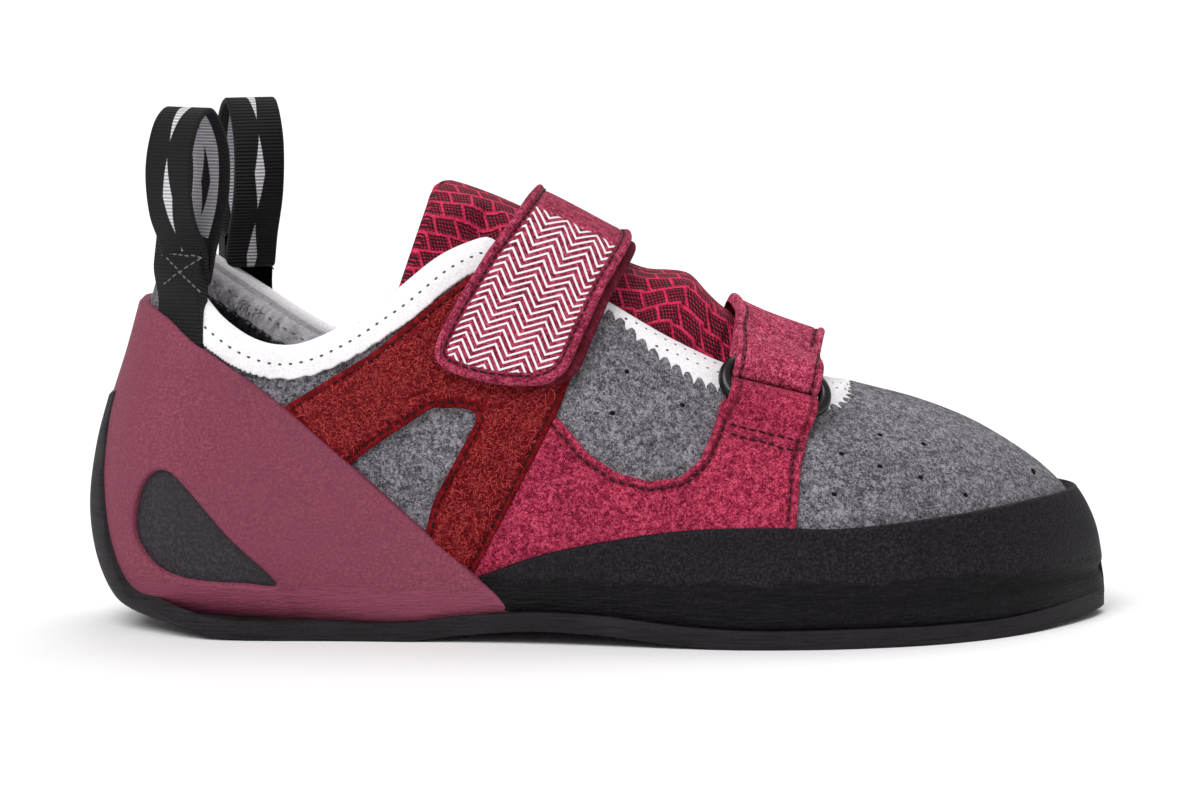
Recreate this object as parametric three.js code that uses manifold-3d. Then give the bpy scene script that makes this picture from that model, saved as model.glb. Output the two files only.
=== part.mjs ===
// A low-cut climbing shoe for the right foot: a hollow suede upper on an asymmetric last, a thin rubber
// sole that climbs the heel, a toe rand, a heel sling with a window, a padded tongue, and two hook-and-loop
// straps, the front one through an oval ring. Millimetres, +X to the toe, +Y to the inner side, +Z up.
import * as THREE from "three";
import { mergeVertices } from "three/addons/utils/BufferGeometryUtils.js";
import Module from "manifold-3d";

const wasm = await Module();
wasm.setup();

// Driving sizes of the lasted upper
const LAST_LENGTH = 239;
const BALL_WIDTH = 82;
const INSTEP_HEIGHT = 105;

// Walls, layers and running gaps
const GAP = 0.3;
const UPPER_WALL = 2;
const RAND_WALL = 2;
const PANEL_WALL = 1.2;
const PATCH_WALL = 1.9;
const SOLE_THICKNESS = 4.5;
const HEEL_WRAP_THICKNESS = 3;
const SOLE_OVERHANG = 0.5;
const TOE_SPRING = 1.8;
const SOLE_MARGIN = 9;
const INSOLE_THICKNESS = 3.2;
const TONGUE_THICKNESS = 4;
const STRAP_THICKNESS = 2.4;
const SHOULDER_FULLNESS = 0.4;
const BINDING_WALL = 1.3;
const BINDING_WIDTH = 6;
const BINDING_END = 0.39;
const WEBBING_WIDTH = 12.5;
const WEBBING_THICKNESS = 1.4;
const RING_WIRE = 3.2;
const RING_LENGTH = 27.5;
const RING_WIDTH = 14;

// Mesh density
const STATIONS_PER_ROW = 1;
const GIRTH_STEPS = 8;
const EDGE_STEPS = 10;
const CURVE_STEPS = 48;

const LAST_BOTTOM = SOLE_THICKNESS + GAP;

// Sections of the last, heel top to toe tip. base and top are the ends of each section plane in the side
// view, as shares of LAST_LENGTH and INSTEP_HEIGHT. lateral, medial and ridge are shares of BALL_WIDTH,
// widest the share of the plane's height at the widest point, flat the flat share of the half width at the
// base, and crown the exponent of the curve above the widest point.
const SECTION_COLUMNS = "baseX baseZ topX topZ lateral medial ridge widest flat crown".split(" ");
const SECTIONS = [
  [0.071, 0.878, 0.3, 1.0, 0.26, 0.26, 0, 0.48, 0.2, 2.5],
  [0.063, 0.83, 0.3, 1.0, 0.27, 0.27, 0, 0.47, 0.2, 2.5],
  [0.048, 0.716, 0.3, 1.0, 0.293, 0.293, 0, 0.45, 0.2, 2.5],
  [0.032, 0.583, 0.3, 1.0, 0.323, 0.317, 0, 0.42, 0.22, 2.6],
  [0.009, 0.411, 0.3, 1.0, 0.348, 0.335, 0, 0.38, 0.24, 2.6],
  [0, 0.259, 0.3, 1.0, 0.354, 0.341, 0, 0.34, 0.26, 2.6],
  [0.01, 0.126, 0.3, 1.0, 0.36, 0.345, 0, 0.29, 0.32, 2.6],
  [0.036, 0.042, 0.3, 1.0, 0.36, 0.348, 0, 0.23, 0.42, 2.6],
  [0.082, 0.012, 0.3, 1.0, 0.362, 0.348, 0, 0.19, 0.55, 2.6],
  [0.145, 0.001, 0.3, 1.0, 0.363, 0.348, 0, 0.17, 0.64, 2.6],
  [0.221, 0, 0.3, 1.0, 0.366, 0.341, 0, 0.17, 0.66, 2.6],
  [0.3, 0, 0.3, 1.0, 0.378, 0.335, 0, 0.18, 0.66, 2.5],
  [0.363, 0.018, 0.363, 0.954, 0.396, 0.335, 0, 0.2, 0.64, 2.3],
  [0.431, 0.03, 0.431, 0.873, 0.427, 0.348, 0, 0.22, 0.66, 2.2],
  [0.498, 0.026, 0.498, 0.773, 0.463, 0.378, 0.012, 0.24, 0.7, 2.1],
  [0.565, 0.01, 0.565, 0.673, 0.494, 0.433, 0.024, 0.24, 0.75, 1.85],
  [0.632, 0, 0.632, 0.588, 0.516, 0.47, 0.037, 0.24, 0.8, 1.7],
  [0.7, 0, 0.7, 0.53, 0.512, 0.488, 0.06, 0.24, 0.82, 1.75],
  [0.758, 0, 0.758, 0.493, 0.485, 0.488, 0.098, 0.24, 0.83, 1.85],
  [0.817, 0, 0.817, 0.455, 0.433, 0.47, 0.134, 0.24, 0.83, 1.9],
  [0.872, 0, 0.872, 0.405, 0.348, 0.435, 0.158, 0.25, 0.83, 1.95],
  [0.918, 0, 0.918, 0.345, 0.238, 0.382, 0.158, 0.26, 0.82, 2.0],
  [0.952, 0.001, 0.952, 0.288, 0.126, 0.323, 0.152, 0.28, 0.8, 2.1],
  [0.977, 0.003, 0.977, 0.226, 0.024, 0.26, 0.14, 0.3, 0.75, 2.2],
  [0.9925, 0.01, 0.9925, 0.154, -0.055, 0.201, 0.128, 0.34, 0.6, 2.2],
  [1.0, 0.04, 1.0, 0.069, -0.122, 0.134, 0.128, 0.45, 0.4, 2.0],
];
const FIRST_ROW = 0;
const LAST_ROW = SECTIONS.length - 1;
const PIVOT_ROW = 11;

// Outlines in the side view, as shares of LAST_LENGTH and INSTEP_HEIGHT
const COLLAR_LATERAL = [[-0.05, 0.835], [0.06, 0.825], [0.078, 0.785], [0.097, 0.728], [0.122, 0.671],
  [0.155, 0.621], [0.193, 0.606], [0.237, 0.642], [0.292, 0.722], [0.341, 0.808], [0.387, 0.85],
  [0.43, 0.87]];
const COLLAR_MEDIAL = [[-0.05, 0.835], [0.06, 0.825], [0.085, 0.795], [0.122, 0.735], [0.155, 0.683],
  [0.193, 0.628], [0.225, 0.594], [0.25, 0.615], [0.292, 0.695], [0.341, 0.795], [0.387, 0.85], [0.43, 0.87]];
// Half width of the throat along the foot, as shares of LAST_LENGTH and BALL_WIDTH
const THROAT = [[0.375, 0.2], [0.39, 0.218], [0.43, 0.225], [0.5, 0.22], [0.565, 0.2], [0.632, 0.17],
  [0.69, 0.125], [0.73, 0.07], [0.748, 0.003]];
const TOE_RAND_TOP = [[0.371, 0.09], [0.381, 0.102], [0.431, 0.15], [0.489, 0.185], [0.548, 0.211],
  [0.607, 0.225], [0.675, 0.227], [0.734, 0.224], [0.835, 0.24], [0.919, 0.254], [0.97, 0.257],
  [1.06, 0.262]];
const SLING_TOP = [[-0.06, 0.72], [0.046, 0.697], [0.099, 0.622], [0.185, 0.482], [0.312, 0.227],
  [0.371, 0.107], [0.415, 0.01], [0.425, -0.1]];
const SLING_WINDOW = [[0.033, 0.2], [0.037, 0.272], [0.048, 0.322], [0.064, 0.339], [0.083, 0.312],
  [0.129, 0.189], [0.176, 0.078], [0.143, 0.074], [0.092, 0.08], [0.06, 0.105], [0.041, 0.15]];
const LOOP_PATCH = [[0.18, 0.474], [0.27, 0.6], [0.335, 0.72], [0.384, 0.8], [0.505, 0.76],
  [0.484, 0.646], [0.451, 0.464], [0.409, 0.275], [0.373, 0.115], [0.36, 0.08]];
const PATCH_HOLE = [[0.258, 0.346], [0.318, 0.463], [0.344, 0.481], [0.367, 0.45], [0.333, 0.278],
  [0.312, 0.227]];
const SIDE_PANEL = [[0.44, 0.5], [0.457, 0.456], [0.484, 0.385], [0.511, 0.345], [0.543, 0.326],
  [0.574, 0.336], [0.594, 0.373], [0.606, 0.427], [0.618, 0.5], [0.702, 0.455], [0.702, 0.421],
  [0.693, 0.358], [0.681, 0.1], [0.37, 0]];
const ANKLE_STRAP = [[0.475, 1.05], [0.43, 0.944], [0.384, 0.833], [0.351, 0.729], [0.327, 0.64],
  [0.324, 0.595], [0.344, 0.564], [0.394, 0.541], [0.438, 0.541], [0.462, 0.572], [0.478, 0.642],
  [0.499, 0.749], [0.528, 0.858], [0.545, 0.96]];
const FRONT_STRAP = [[0.65, 0.82], [0.636, 0.69], [0.624, 0.6], [0.619, 0.541], [0.704, 0.49],
  [0.712, 0.53], [0.719, 0.596], [0.724, 0.66], [0.735, 0.75]];
const ANKLE_STRAP_MEDIAL = [[0.49, 1.1], [0.428, 0.93], [0.372, 0.75], [0.362, 0.55], [0.364, 0.38],
  [0.47, 0.38], [0.478, 0.6], [0.51, 0.78], [0.545, 0.96], [0.55, 1.1]];
const FRONT_STRAP_MEDIAL = [[0.64, 0.82], [0.618, 0.6], [0.604, 0.45], [0.6, 0.33], [0.7, 0.33],
  [0.708, 0.45], [0.722, 0.6], [0.74, 0.75]];
const MEDIAL_PANEL = [[0.34, 0.5], [0.49, 0.5], [0.545, 0.41], [0.6, 0.46], [0.72, 0.42], [0.735, 0.3],
  [0.735, 0.05], [0.3, 0.05], [0.3, 0.3]];
const TONGUE_SIDE = [[0.301, 0.68], [0.338, 1.04], [0.42, 1.06], [0.6, 0.95], [0.8, 0.75], [0.785, 0.41],
  [0.63, 0.46], [0.5, 0.6], [0.43, 0.7], [0.37, 0.73], [0.33, 0.7]];
const BASE_LATERAL = [[0.06, 0.5], [0.057, 0.7], [0.06, 0.8], [0.062, 0.86], [0.11, 0.86], [0.108, 0.7],
  [0.11, 0.5]];
const BASE_MEDIAL = [[0.098, 0.5], [0.096, 0.7], [0.098, 0.84], [0.15, 0.84], [0.15, 0.7], [0.152, 0.5]];
// Height of the tongue and of the straps' undersides over the last at its ridge, along the foot, as shares
// of TONGUE_THICKNESS
const TONGUE_RISE = [[0.3, -0.25], [0.354, 0], [0.42, 0.38], [0.46, 0.55], [0.5, 0.75], [0.532, 1.05],
  [0.565, 2.05], [0.599, 2.65], [0.615, 2.4], [0.632, 1.55], [0.68, 1.25], [0.71, 0.95], [0.735, 0.13],
  [0.75, -0.5]];
const STRAP_RISE = [[0.4, 1.05], [0.43, 1.15], [0.49, 1.55], [0.54, 2.05], [0.62, 1.6], [0.72, 1.95]];
// Where each pull loop stands: x, y and z as shares of LAST_LENGTH, BALL_WIDTH and INSTEP_HEIGHT, and the
// angle by which its webbing is turned, in radians
const LOOP_LATERAL = { x: 0.0887, y: -0.244, z: 0.754, spin: 1.05 };
const LOOP_MEDIAL = { x: 0.136, y: 0.2866, z: 0.754, spin: -1.2 };
// The upright path of a heel pull loop: distance towards the foot and height, as shares of WEBBING_WIDTH
const PULL_LOOP = [[0, 0], [-0.12, 0.6], [-0.5, 1.3], [-0.6, 2.2], [-0.3, 3.0], [0.2, 3.2], [0.65, 2.5],
  [0.62, 1.5], [0.22, 0.6]];
// Half width of the sole's strip up the back of the heel, by section row, as shares of BALL_WIDTH
const WRAP_HALF_WIDTH = [[3.4, 0.115], [4, 0.15], [5, 0.175], [6, 0.19], [7, 0.24], [8, 0.33]];
const WRAP_START_ROW = 3.4;

const sideX = (share) => (share - 0.5) * LAST_LENGTH;
const sideZ = (share) => LAST_BOTTOM + share * INSTEP_HEIGHT;
const sidePoint = ([x, z]) => [sideX(x), sideZ(z)];

function smooth(value) {
  const t = Math.min(1, Math.max(0, value));
  return t * t * (3 - 2 * t);
}

// Straight-line lookup in a table of [key, value] rows
function lookup(table, key) {
  const last = table.length - 1;
  if (key <= table[0][0]) return table[0][1];
  if (key >= table[last][0]) return table[last][1];
  const i = table.findIndex((row) => row[0] > key) - 1;
  const t = (key - table[i][0]) / (table[i + 1][0] - table[i][0]);
  return table[i][1] + t * (table[i + 1][1] - table[i][1]);
}

// The section at a fractional row, by a Catmull-Rom curve through the rows. A square one has upright sides
// low down from the heel's bottom to the toe, which is how the rubber stands on the sole
function sectionAt(row, square = false) {
  const i = Math.min(LAST_ROW - 1, Math.max(0, Math.floor(row)));
  const t = row - i;
  const pick = (k) => SECTIONS[Math.min(LAST_ROW, Math.max(0, k))];
  const [a, b, c, d] = [pick(i - 1), pick(i), pick(i + 1), pick(i + 2)];
  const section = {};
  SECTION_COLUMNS.forEach((name, k) => {
    section[name] = 0.5 * (2 * b[k] + (c[k] - a[k]) * t + (2 * a[k] - 5 * b[k] + 4 * c[k] - d[k]) * t * t
      + (3 * b[k] - a[k] - 3 * c[k] + d[k]) * t * t * t);
  });
  if (square) {
    const share = smooth((row - 8.5) / 3);
    section.flat += (0.94 - section.flat) * share;
    section.widest += (0.12 - section.widest) * share;
    section.baseZ *= 1 - share * smooth((section.baseX - 0.9) / 0.08);
  }
  return section;
}

// One side of a section, from the middle of its base to its ridge: points of height share and y in mm
function halfSection(section, side) {
  const centre = (section.medial - section.lateral) / 2 * BALL_WIDTH;
  const half = (section.medial + section.lateral) / 2 * BALL_WIDTH;
  const ridge = section.ridge * BALL_WIDTH;
  const flat = half * section.flat;
  const points = [[0, centre]];
  for (let i = 0; i <= CURVE_STEPS; i++) {
    const angle = (i / CURVE_STEPS) * Math.PI / 2;
    const across = centre + side * (flat + (half - flat) * Math.sin(angle));
    points.push([section.widest * (1 - Math.cos(angle)), across]);
  }
  for (let i = 1; i <= CURVE_STEPS; i++) {
    const angle = (i / CURVE_STEPS) * Math.PI / 2;
    const across = ridge + (centre + side * half - ridge) * Math.cos(angle) ** (2 / section.crown);
    const up = Math.sin(angle) ** (2 / section.crown);
    points.push([section.widest + (1 - section.widest) * up, across]);
  }
  return points;
}

const halfSectionCache = new Map();

// The same half section with its height in mm and the running length of its girth
function girthOf(row, side, square = false) {
  const key = `${row} ${side} ${square}`;
  if (!halfSectionCache.has(key)) {
    const section = sectionAt(row, square);
    const base = new THREE.Vector2(sideX(section.baseX), sideZ(section.baseZ));
    const top = new THREE.Vector2(sideX(section.topX), sideZ(section.topZ));
    const height = base.distanceTo(top);
    const points = halfSection(section, side);
    const run = [0];
    for (let i = 1; i < points.length; i++) {
      const [rise, across] = [points[i][0] - points[i - 1][0], points[i][1] - points[i - 1][1]];
      run.push(run[i - 1] + Math.hypot(rise * height, across));
    }
    halfSectionCache.set(key, { base, top, height, points, run });
  }
  return halfSectionCache.get(key);
}

// A point on the last at a row, a side (-1 lateral, 1 medial) and a share of the girth from base to ridge
function lastPoint(row, side, girth, square = false) {
  const { base, top, points, run } = girthOf(row, side, square);
  const wanted = Math.min(1, Math.max(0, girth)) * run[run.length - 1];
  let i = 1;
  while (i < run.length - 1 && run[i] < wanted) i++;
  const t = (wanted - run[i - 1]) / Math.max(1e-9, run[i] - run[i - 1]);
  const share = points[i - 1][0] + t * (points[i][0] - points[i - 1][0]);
  const y = points[i - 1][1] + t * (points[i][1] - points[i - 1][1]);
  return new THREE.Vector3(base.x + (top.x - base.x) * share, y, base.y + (top.y - base.y) * share);
}

// The outward direction there, from two short chords
function lastNormal(row, side, girth, square = false) {
  const step = 0.02;
  const low = Math.max(0, girth - step);
  const high = Math.min(1, girth + step);
  const around = lastPoint(row, side, high, square).sub(lastPoint(row, side, low, square));
  const back = Math.max(0, row - 0.15);
  const ahead = Math.min(LAST_ROW, row + 0.15);
  const along = lastPoint(ahead, side, girth, square).sub(lastPoint(back, side, girth, square));
  const normal = around.cross(along).multiplyScalar(side);
  return normal.lengthSq() > 0 ? normal.normalize() : new THREE.Vector3(1, 0, 0);
}

// The share of the girth at which a section reaches a height share, or a y, on one side
function girthAt(row, side, test) {
  const { points, run } = girthOf(row, side);
  const i = points.findIndex(test);
  return i < 0 ? 1 : run[i] / run[run.length - 1];
}

// Where the opening's edge crosses a section: on the collar line, or at the half width of the throat
function openingGirth(row, side) {
  const section = sectionAt(row);
  if (section.baseX > THROAT[0][0]) {
    const reach = lookup(THROAT, section.baseX) * BALL_WIDTH;
    const ridge = section.ridge * BALL_WIDTH;
    return girthAt(row, side, ([share, y]) => share > section.widest && Math.abs(y - ridge) <= reach);
  }
  const collar = (side < 0 ? COLLAR_LATERAL : COLLAR_MEDIAL).map(sidePoint);
  const { base, top } = girthOf(row, side);
  const line = top.clone().sub(base);
  for (let i = 1; i < collar.length; i++) {
    const a = new THREE.Vector2(...collar[i - 1]).sub(base);
    const b = new THREE.Vector2(...collar[i]).sub(base);
    const [ca, cb] = [line.cross(a), line.cross(b)];
    if (ca >= 0 && cb < 0) {
      const hit = a.lerp(b, ca / (ca - cb));
      const share = hit.dot(line) / line.lengthSq();
      return girthAt(row, side, (point) => point[0] >= share);
    }
  }
  return 0.05;
}

function rowsBetween(first, last, perRow = STATIONS_PER_ROW) {
  const count = Math.max(2, Math.round((last - first) * perRow));
  return Array.from({ length: count + 1 }, (_, i) => first + ((last - first) * i) / count);
}

// A closed solid from rings of points that run the same way, with flat caps unless the last meets the first
function loftRings(rings, capped = true) {
  const count = rings[0].length;
  const positions = rings.flat().flatMap((p) => [p.x, p.y, p.z]);
  const index = [];
  for (let i = 0; i + 1 < rings.length; i++) {
    for (let j = 0; j < count; j++) {
      const [a, b] = [i * count + j, i * count + ((j + 1) % count)];
      index.push(a, b, a + count, b, b + count, a + count);
    }
  }
  (capped ? [0, rings.length - 1] : []).forEach((i) => {
    const centre = rings[i].reduce((sum, p) => sum.add(p), new THREE.Vector3()).divideScalar(count);
    const middle = positions.length / 3;
    positions.push(centre.x, centre.y, centre.z);
    for (let j = 0; j < count; j++) {
      const [a, b] = [i * count + j, i * count + ((j + 1) % count)];
      index.push(...(i === 0 ? [middle, b, a] : [middle, a, b]));
    }
  });
  const geometry = new THREE.BufferGeometry();
  geometry.setAttribute("position", new THREE.Float32BufferAttribute(positions, 3));
  geometry.setIndex(index);
  return solidOf(geometry);
}

// Any closed geometry as a solid to join and cut
function solidOf(source) {
  const geometry = source.clone();
  ["normal", "uv"].forEach((name) => geometry.deleteAttribute(name));
  const merged = mergeVertices(geometry, 1e-4);
  const corners = [...merged.index.array];
  const kept = [];
  for (let i = 0; i < corners.length; i += 3) {
    const [a, b, c] = corners.slice(i, i + 3);
    if (a !== b && b !== c && c !== a) kept.push(a, b, c);
  }
  const make = (triVerts) => new wasm.Manifold(new wasm.Mesh({
    numProp: 3,
    vertProperties: new Float32Array(merged.attributes.position.array),
    triVerts: new Uint32Array(triVerts),
  }));
  const solid = make(kept);
  if (solid.volume() > 0) return solid;
  const turned = kept.map((_, i) => kept[i - (i % 3) + [0, 2, 1][i % 3]]);
  return make(turned);
}

// How far up its girth a section of the closed last reaches: the planes behind the pivot stop short of it
function closingGirth(row) {
  return row >= PIVOT_ROW ? 1 : 0.86 + 0.14 * smooth(row - PIVOT_ROW + 1);
}

// The last grown outwards by an offset in mm, which may be a function of row, side and girth share
function grownLast(offset, firstRow = FIRST_ROW, square = false, perRow = STATIONS_PER_ROW) {
  const grow = typeof offset === "function" ? offset : () => offset;
  const rings = rowsBetween(firstRow, LAST_ROW, perRow).map((row) => {
    const ring = [];
    const reach = closingGirth(row);
    const push = (side, girth) => {
      const normal = lastNormal(row, side, girth, square);
      ring.push(lastPoint(row, side, girth, square).addScaledVector(normal, grow(row, side, girth)));
    };
    for (let j = 0; j <= GIRTH_STEPS; j++) push(-1, (j / GIRTH_STEPS) * reach);
    for (let j = GIRTH_STEPS - (reach === 1 ? 1 : 0); j > 0; j--) push(1, (j / GIRTH_STEPS) * reach);
    if (reach === 1) ring.splice(GIRTH_STEPS + 1, 0, ring[GIRTH_STEPS].clone());
    return ring;
  });
  return loftRings(rings);
}

const shell = (inner, outer) => grownLast(outer).subtract(grownLast(inner));

// A prism on an outline in the side view, between two values of y
function sidePrism(outline, fromY, toY) {
  const shape = new THREE.Shape(outline.map((point) => new THREE.Vector2(...sidePoint(point))));
  const geometry = new THREE.ExtrudeGeometry(shape, { depth: toY - fromY, bevelEnabled: false });
  geometry.rotateX(Math.PI / 2).translate(0, toY, 0);
  return solidOf(geometry);
}

const FAR = BALL_WIDTH;
const bothSides = (outline) => sidePrism(outline, -FAR, FAR);
const lateralSide = (outline) => sidePrism(outline, -FAR, 0);
const medialSide = (outline) => sidePrism(outline, 0, FAR);

// A rounded copy of an outline: a closed curve through its points
function rounded(outline, count, tension = 0.5) {
  const curve = new THREE.CatmullRomCurve3(
    outline.map(([x, z]) => new THREE.Vector3(x, z, 0)), true, "catmullrom", tension);
  return curve.getPoints(count).slice(0, -1).map((p) => [p.x, p.y]);
}

// An open line of side-view points with a curve through it
function curvedLine(line, count) {
  const curve = new THREE.CatmullRomCurve3(line.map(([x, z]) => new THREE.Vector3(x, z, 0)), false);
  return curve.getPoints(count).map((p) => [p.x, p.y]);
}

// The space over the collar and in the throat, with its edge raised by some mm
function openingCutter(raise) {
  const lift = raise / INSTEP_HEIGHT;
  const over = (line) => {
    const edge = curvedLine(line, EDGE_STEPS).map(([x, z]) => [x, z + lift]);
    return [...edge, [edge[edge.length - 1][0], 1.5], [edge[0][0], 1.5]];
  };
  const slot = THROAT.map(([x, half]) => {
    const ridge = lookup(SECTIONS.slice(PIVOT_ROW).map((row) => [row[0], row[6]]), x);
    return [sideX(x), ridge * BALL_WIDTH, Math.max(0.2, half * BALL_WIDTH - raise)];
  });
  const plan = new THREE.Shape([
    ...slot.map(([x, ridge, half]) => new THREE.Vector2(x, ridge - half)),
    ...slot.reverse().map(([x, ridge, half]) => new THREE.Vector2(x, ridge + half)),
  ]);
  const geometry = new THREE.ExtrudeGeometry(plan, { depth: INSTEP_HEIGHT, bevelEnabled: false });
  const throat = solidOf(geometry.translate(0, 0, sideZ(0.42)));
  return lateralSide(over(COLLAR_LATERAL)).add(medialSide(over(COLLAR_MEDIAL))).add(throat);
}

// A round section swept along a curve
function sweep(curve, outline, steps) {
  const shape = new THREE.Shape(outline.map(([x, y]) => new THREE.Vector2(x, y)));
  return solidOf(new THREE.ExtrudeGeometry(shape, { extrudePath: curve, steps, bevelEnabled: false }));
}

function circle(radius, sides) {
  return Array.from({ length: sides }, (_, i) => {
    const angle = (i / sides) * Math.PI * 2;
    return [radius * Math.cos(angle), radius * Math.sin(angle)];
  });
}

// Everything above a height
function above(height) {
  const size = LAST_LENGTH * 2;
  const block = new THREE.BoxGeometry(size, size, size);
  return solidOf(block.translate(0, 0, height + size / 2));
}

// The opening under the foot, which the sole closes: the flat of each section less a margin
function soleOpening(inset) {
  const rows = rowsBetween(8.3, LAST_ROW - 2, 0.6);
  const edge = (side) => rows.map((row, k) => {
    const section = sectionAt(row);
    const end = k === 0 ? inset : k === rows.length - 1 ? -inset : 0;
    const centre = (section.medial - section.lateral) / 2 * BALL_WIDTH;
    const half = (section.medial + section.lateral) / 2 * BALL_WIDTH;
    const reach = half * section.flat - SOLE_MARGIN / 2 - inset;
    return new THREE.Vector2(sideX(section.baseX) + end, centre + side * reach);
  });
  return new THREE.Shape([...edge(-1), ...edge(1).reverse()]);
}

// The sole: flat under the foot, and bent up the back of the heel as a strip. grow adds clearance round it
function outsole(grow = 0) {
  const across = 5;
  const rows = [...rowsBetween(WRAP_START_ROW, 9, 2), ...rowsBetween(10, LAST_ROW)];
  const back = (row) => 1 - smooth((row - 6.6) / 2.1);
  const rings = rows.map((row, k) => {
    const section = sectionAt(row);
    const { base, top: crest, height } = girthOf(row, 1);
    const up = crest.clone().sub(base).divideScalar(height);
    const bend = back(row);
    up.lerp(new THREE.Vector2(0, 1), 1 - bend).normalize();
    const reach = RAND_WALL + GAP + SOLE_OVERHANG + grow;
    const edges = [-1, 1].map((side) => {
      const girth = girthAt(row, side, ([share]) => share >= section.widest * 0.8);
      const point = lastPoint(row, side, girth);
      const normal = lastNormal(row, side, girth);
      const plan = new THREE.Vector2(normal.x, normal.y).normalize();
      return new THREE.Vector2(point.x + plan.x * reach, point.y + plan.y * reach);
    });
    const wrapHalf = lookup(WRAP_HALF_WIDTH, row) * BALL_WIDTH + grow;
    const centre = (section.medial - section.lateral) / 2 * BALL_WIDTH;
    const half = (section.medial + section.lateral) / 2 * BALL_WIDTH;
    const flat = half * section.flat;
    const lift = k === 0 ? grow : 0;
    const inner = [];
    const outer = [];
    for (let i = 0; i <= across; i++) {
      const t = i / across;
      const flatPoint = edges[0].clone().lerp(edges[1], t);
      const wrapY = centre + (2 * t - 1) * wrapHalf;
      const y = flatPoint.y + (wrapY - flatPoint.y) * bend;
      const corner = Math.min(1, Math.max(0, (Math.abs(y - centre) - flat) / (half - flat)));
      const rise = section.widest * height * (1 - Math.sqrt(1 - corner * corner)) * bend ** 3;
      const thickness = SOLE_THICKNESS + (HEEL_WRAP_THICKNESS - SOLE_THICKNESS) * bend;
      const top = rise - GAP - (RAND_WALL + 1.5 * GAP) * bend;
      const seat = top + grow;
      const bottom = top - thickness - grow;
      const forward = (flatPoint.x - base.x) * (1 - bend);
      const spring = TOE_SPRING * smooth((section.baseX - 0.88) / 0.12);
      const seatZ = row > 20 ? LAST_BOTTOM + spring : base.y;
      const at = (depth) => new THREE.Vector3(
        base.x + up.x * depth + forward, y, Math.max(-grow, seatZ + up.y * depth + lift));
      inner.push(at(seat));
      outer.push(at(bottom));
    }
    return [...inner, ...outer.reverse()];
  });
  return loftRings(rings);
}

// The sole's clearance, which the pieces that stand on it are cut back by
const soleRoom = outsole(GAP);
const offFloor = above(LAST_BOTTOM);

// A curved line moved by some mm towards the toe and up
function movedLine(line, ahead, up) {
  return curvedLine(line, EDGE_STEPS).map(([x, z]) => [x + ahead / LAST_LENGTH, z + up / INSTEP_HEIGHT]);
}

function toeRandOutline(grow) {
  const top = movedLine(TOE_RAND_TOP, -grow, grow);
  return [...top, [1.06, -0.2], [0.36, -0.2], [0.36 - grow / LAST_LENGTH, top[0][1]]];
}

function slingOutline(grow) {
  return [...movedLine(SLING_TOP, grow, grow), [-0.06, -0.1]];
}

function makeUpper(grow = 0) {
  return shell(-UPPER_WALL - grow, grow).subtract(openingCutter(grow));
}

const upperRoom = makeUpper(GAP);
const openingPrism = (inset, toZ) => solidOf(
  new THREE.ExtrudeGeometry(soleOpening(inset), { depth: toZ, bevelEnabled: false }));
const underfoot = openingPrism(-2 * GAP, LAST_BOTTOM + SOLE_THICKNESS);
const upper = makeUpper()
  .subtract(openingPrism(0, LAST_BOTTOM + 2 * SOLE_THICKNESS))
  .subtract(soleRoom);

// The insole: a slab along the inside, with a plug down through the opening under the foot
const footSpace = grownLast(-UPPER_WALL - 2 * GAP);
const insoleReach = LAST_BOTTOM + 3 * SOLE_THICKNESS;
const insole = openingPrism(-SOLE_MARGIN / 2, insoleReach)
  .intersect(footSpace)
  .add(openingPrism(GAP, insoleReach))
  .subtract(footSpace.translate([0, 0, INSOLE_THICKNESS]))
  .subtract(soleRoom);

// The binding wraps the edge of the ankle opening on both faces
function bindingBand(line, grow) {
  const edge = curvedLine(line, EDGE_STEPS);
  const up = (GAP + BINDING_WALL + grow) / INSTEP_HEIGHT;
  const down = (BINDING_WIDTH + grow) / INSTEP_HEIGHT;
  const kept = edge.filter(([x]) => x < BINDING_END);
  return [...kept.map(([x, z]) => [x, z + up]), ...kept.reverse().map(([x, z]) => [x, z - down])];
}

function bindingWrap(grow) {
  const reach = GAP + BINDING_WALL + grow;
  const lateral = lateralSide(bindingBand(COLLAR_LATERAL, grow));
  const medial = medialSide(bindingBand(COLLAR_MEDIAL, grow));
  return shell(-UPPER_WALL - reach, reach).intersect(lateral.add(medial));
}

const bindingRoom = bindingWrap(GAP);

// The share by which padding stands fuller beside the ridge than on it, which rounds the ridge off
function shoulder(girth) {
  return 1 + SHOULDER_FULLNESS * (1 - smooth((girth - 0.72) / 0.28));
}

// The height of the tongue over the last: proud in the throat and tucked under the upper beside it
function tongueTop(row, side, girth) {
  const { run } = girthOf(row, side);
  const inside = (girth - openingGirth(row, side)) * run[run.length - 1];
  const x = sectionAt(row).baseX;
  const binding = (BINDING_WALL + GAP) * (1 - smooth((x - BINDING_END + 0.01) / 0.03));
  const low = -UPPER_WALL - 2 * GAP - binding;
  const rise = lookup(TONGUE_RISE, x) * TONGUE_THICKNESS * shoulder(girth);
  return low + (rise - low) * smooth((inside + 1 - 2.5 * binding) / (0.12 * BALL_WIDTH));
}

function tongueUnder(row, side, girth) {
  return Math.min(tongueTop(row, side, girth) - TONGUE_THICKNESS * 0.6, -UPPER_WALL - TONGUE_THICKNESS * 0.5);
}

// A body over the instep between two heights, on stations close enough for the bulge between the straps
function padding(over, under) {
  const solid = (height, firstRow) => grownLast(height, firstRow, false, 2 * STATIONS_PER_ROW);
  return solid(over, PIVOT_ROW).subtract(solid(under, PIVOT_ROW - 0.1));
}

const tongueBody = padding(tongueTop, tongueUnder);
const tongue = tongueBody.intersect(bothSides(TONGUE_SIDE)).subtract(upperRoom).subtract(bindingRoom);

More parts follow.
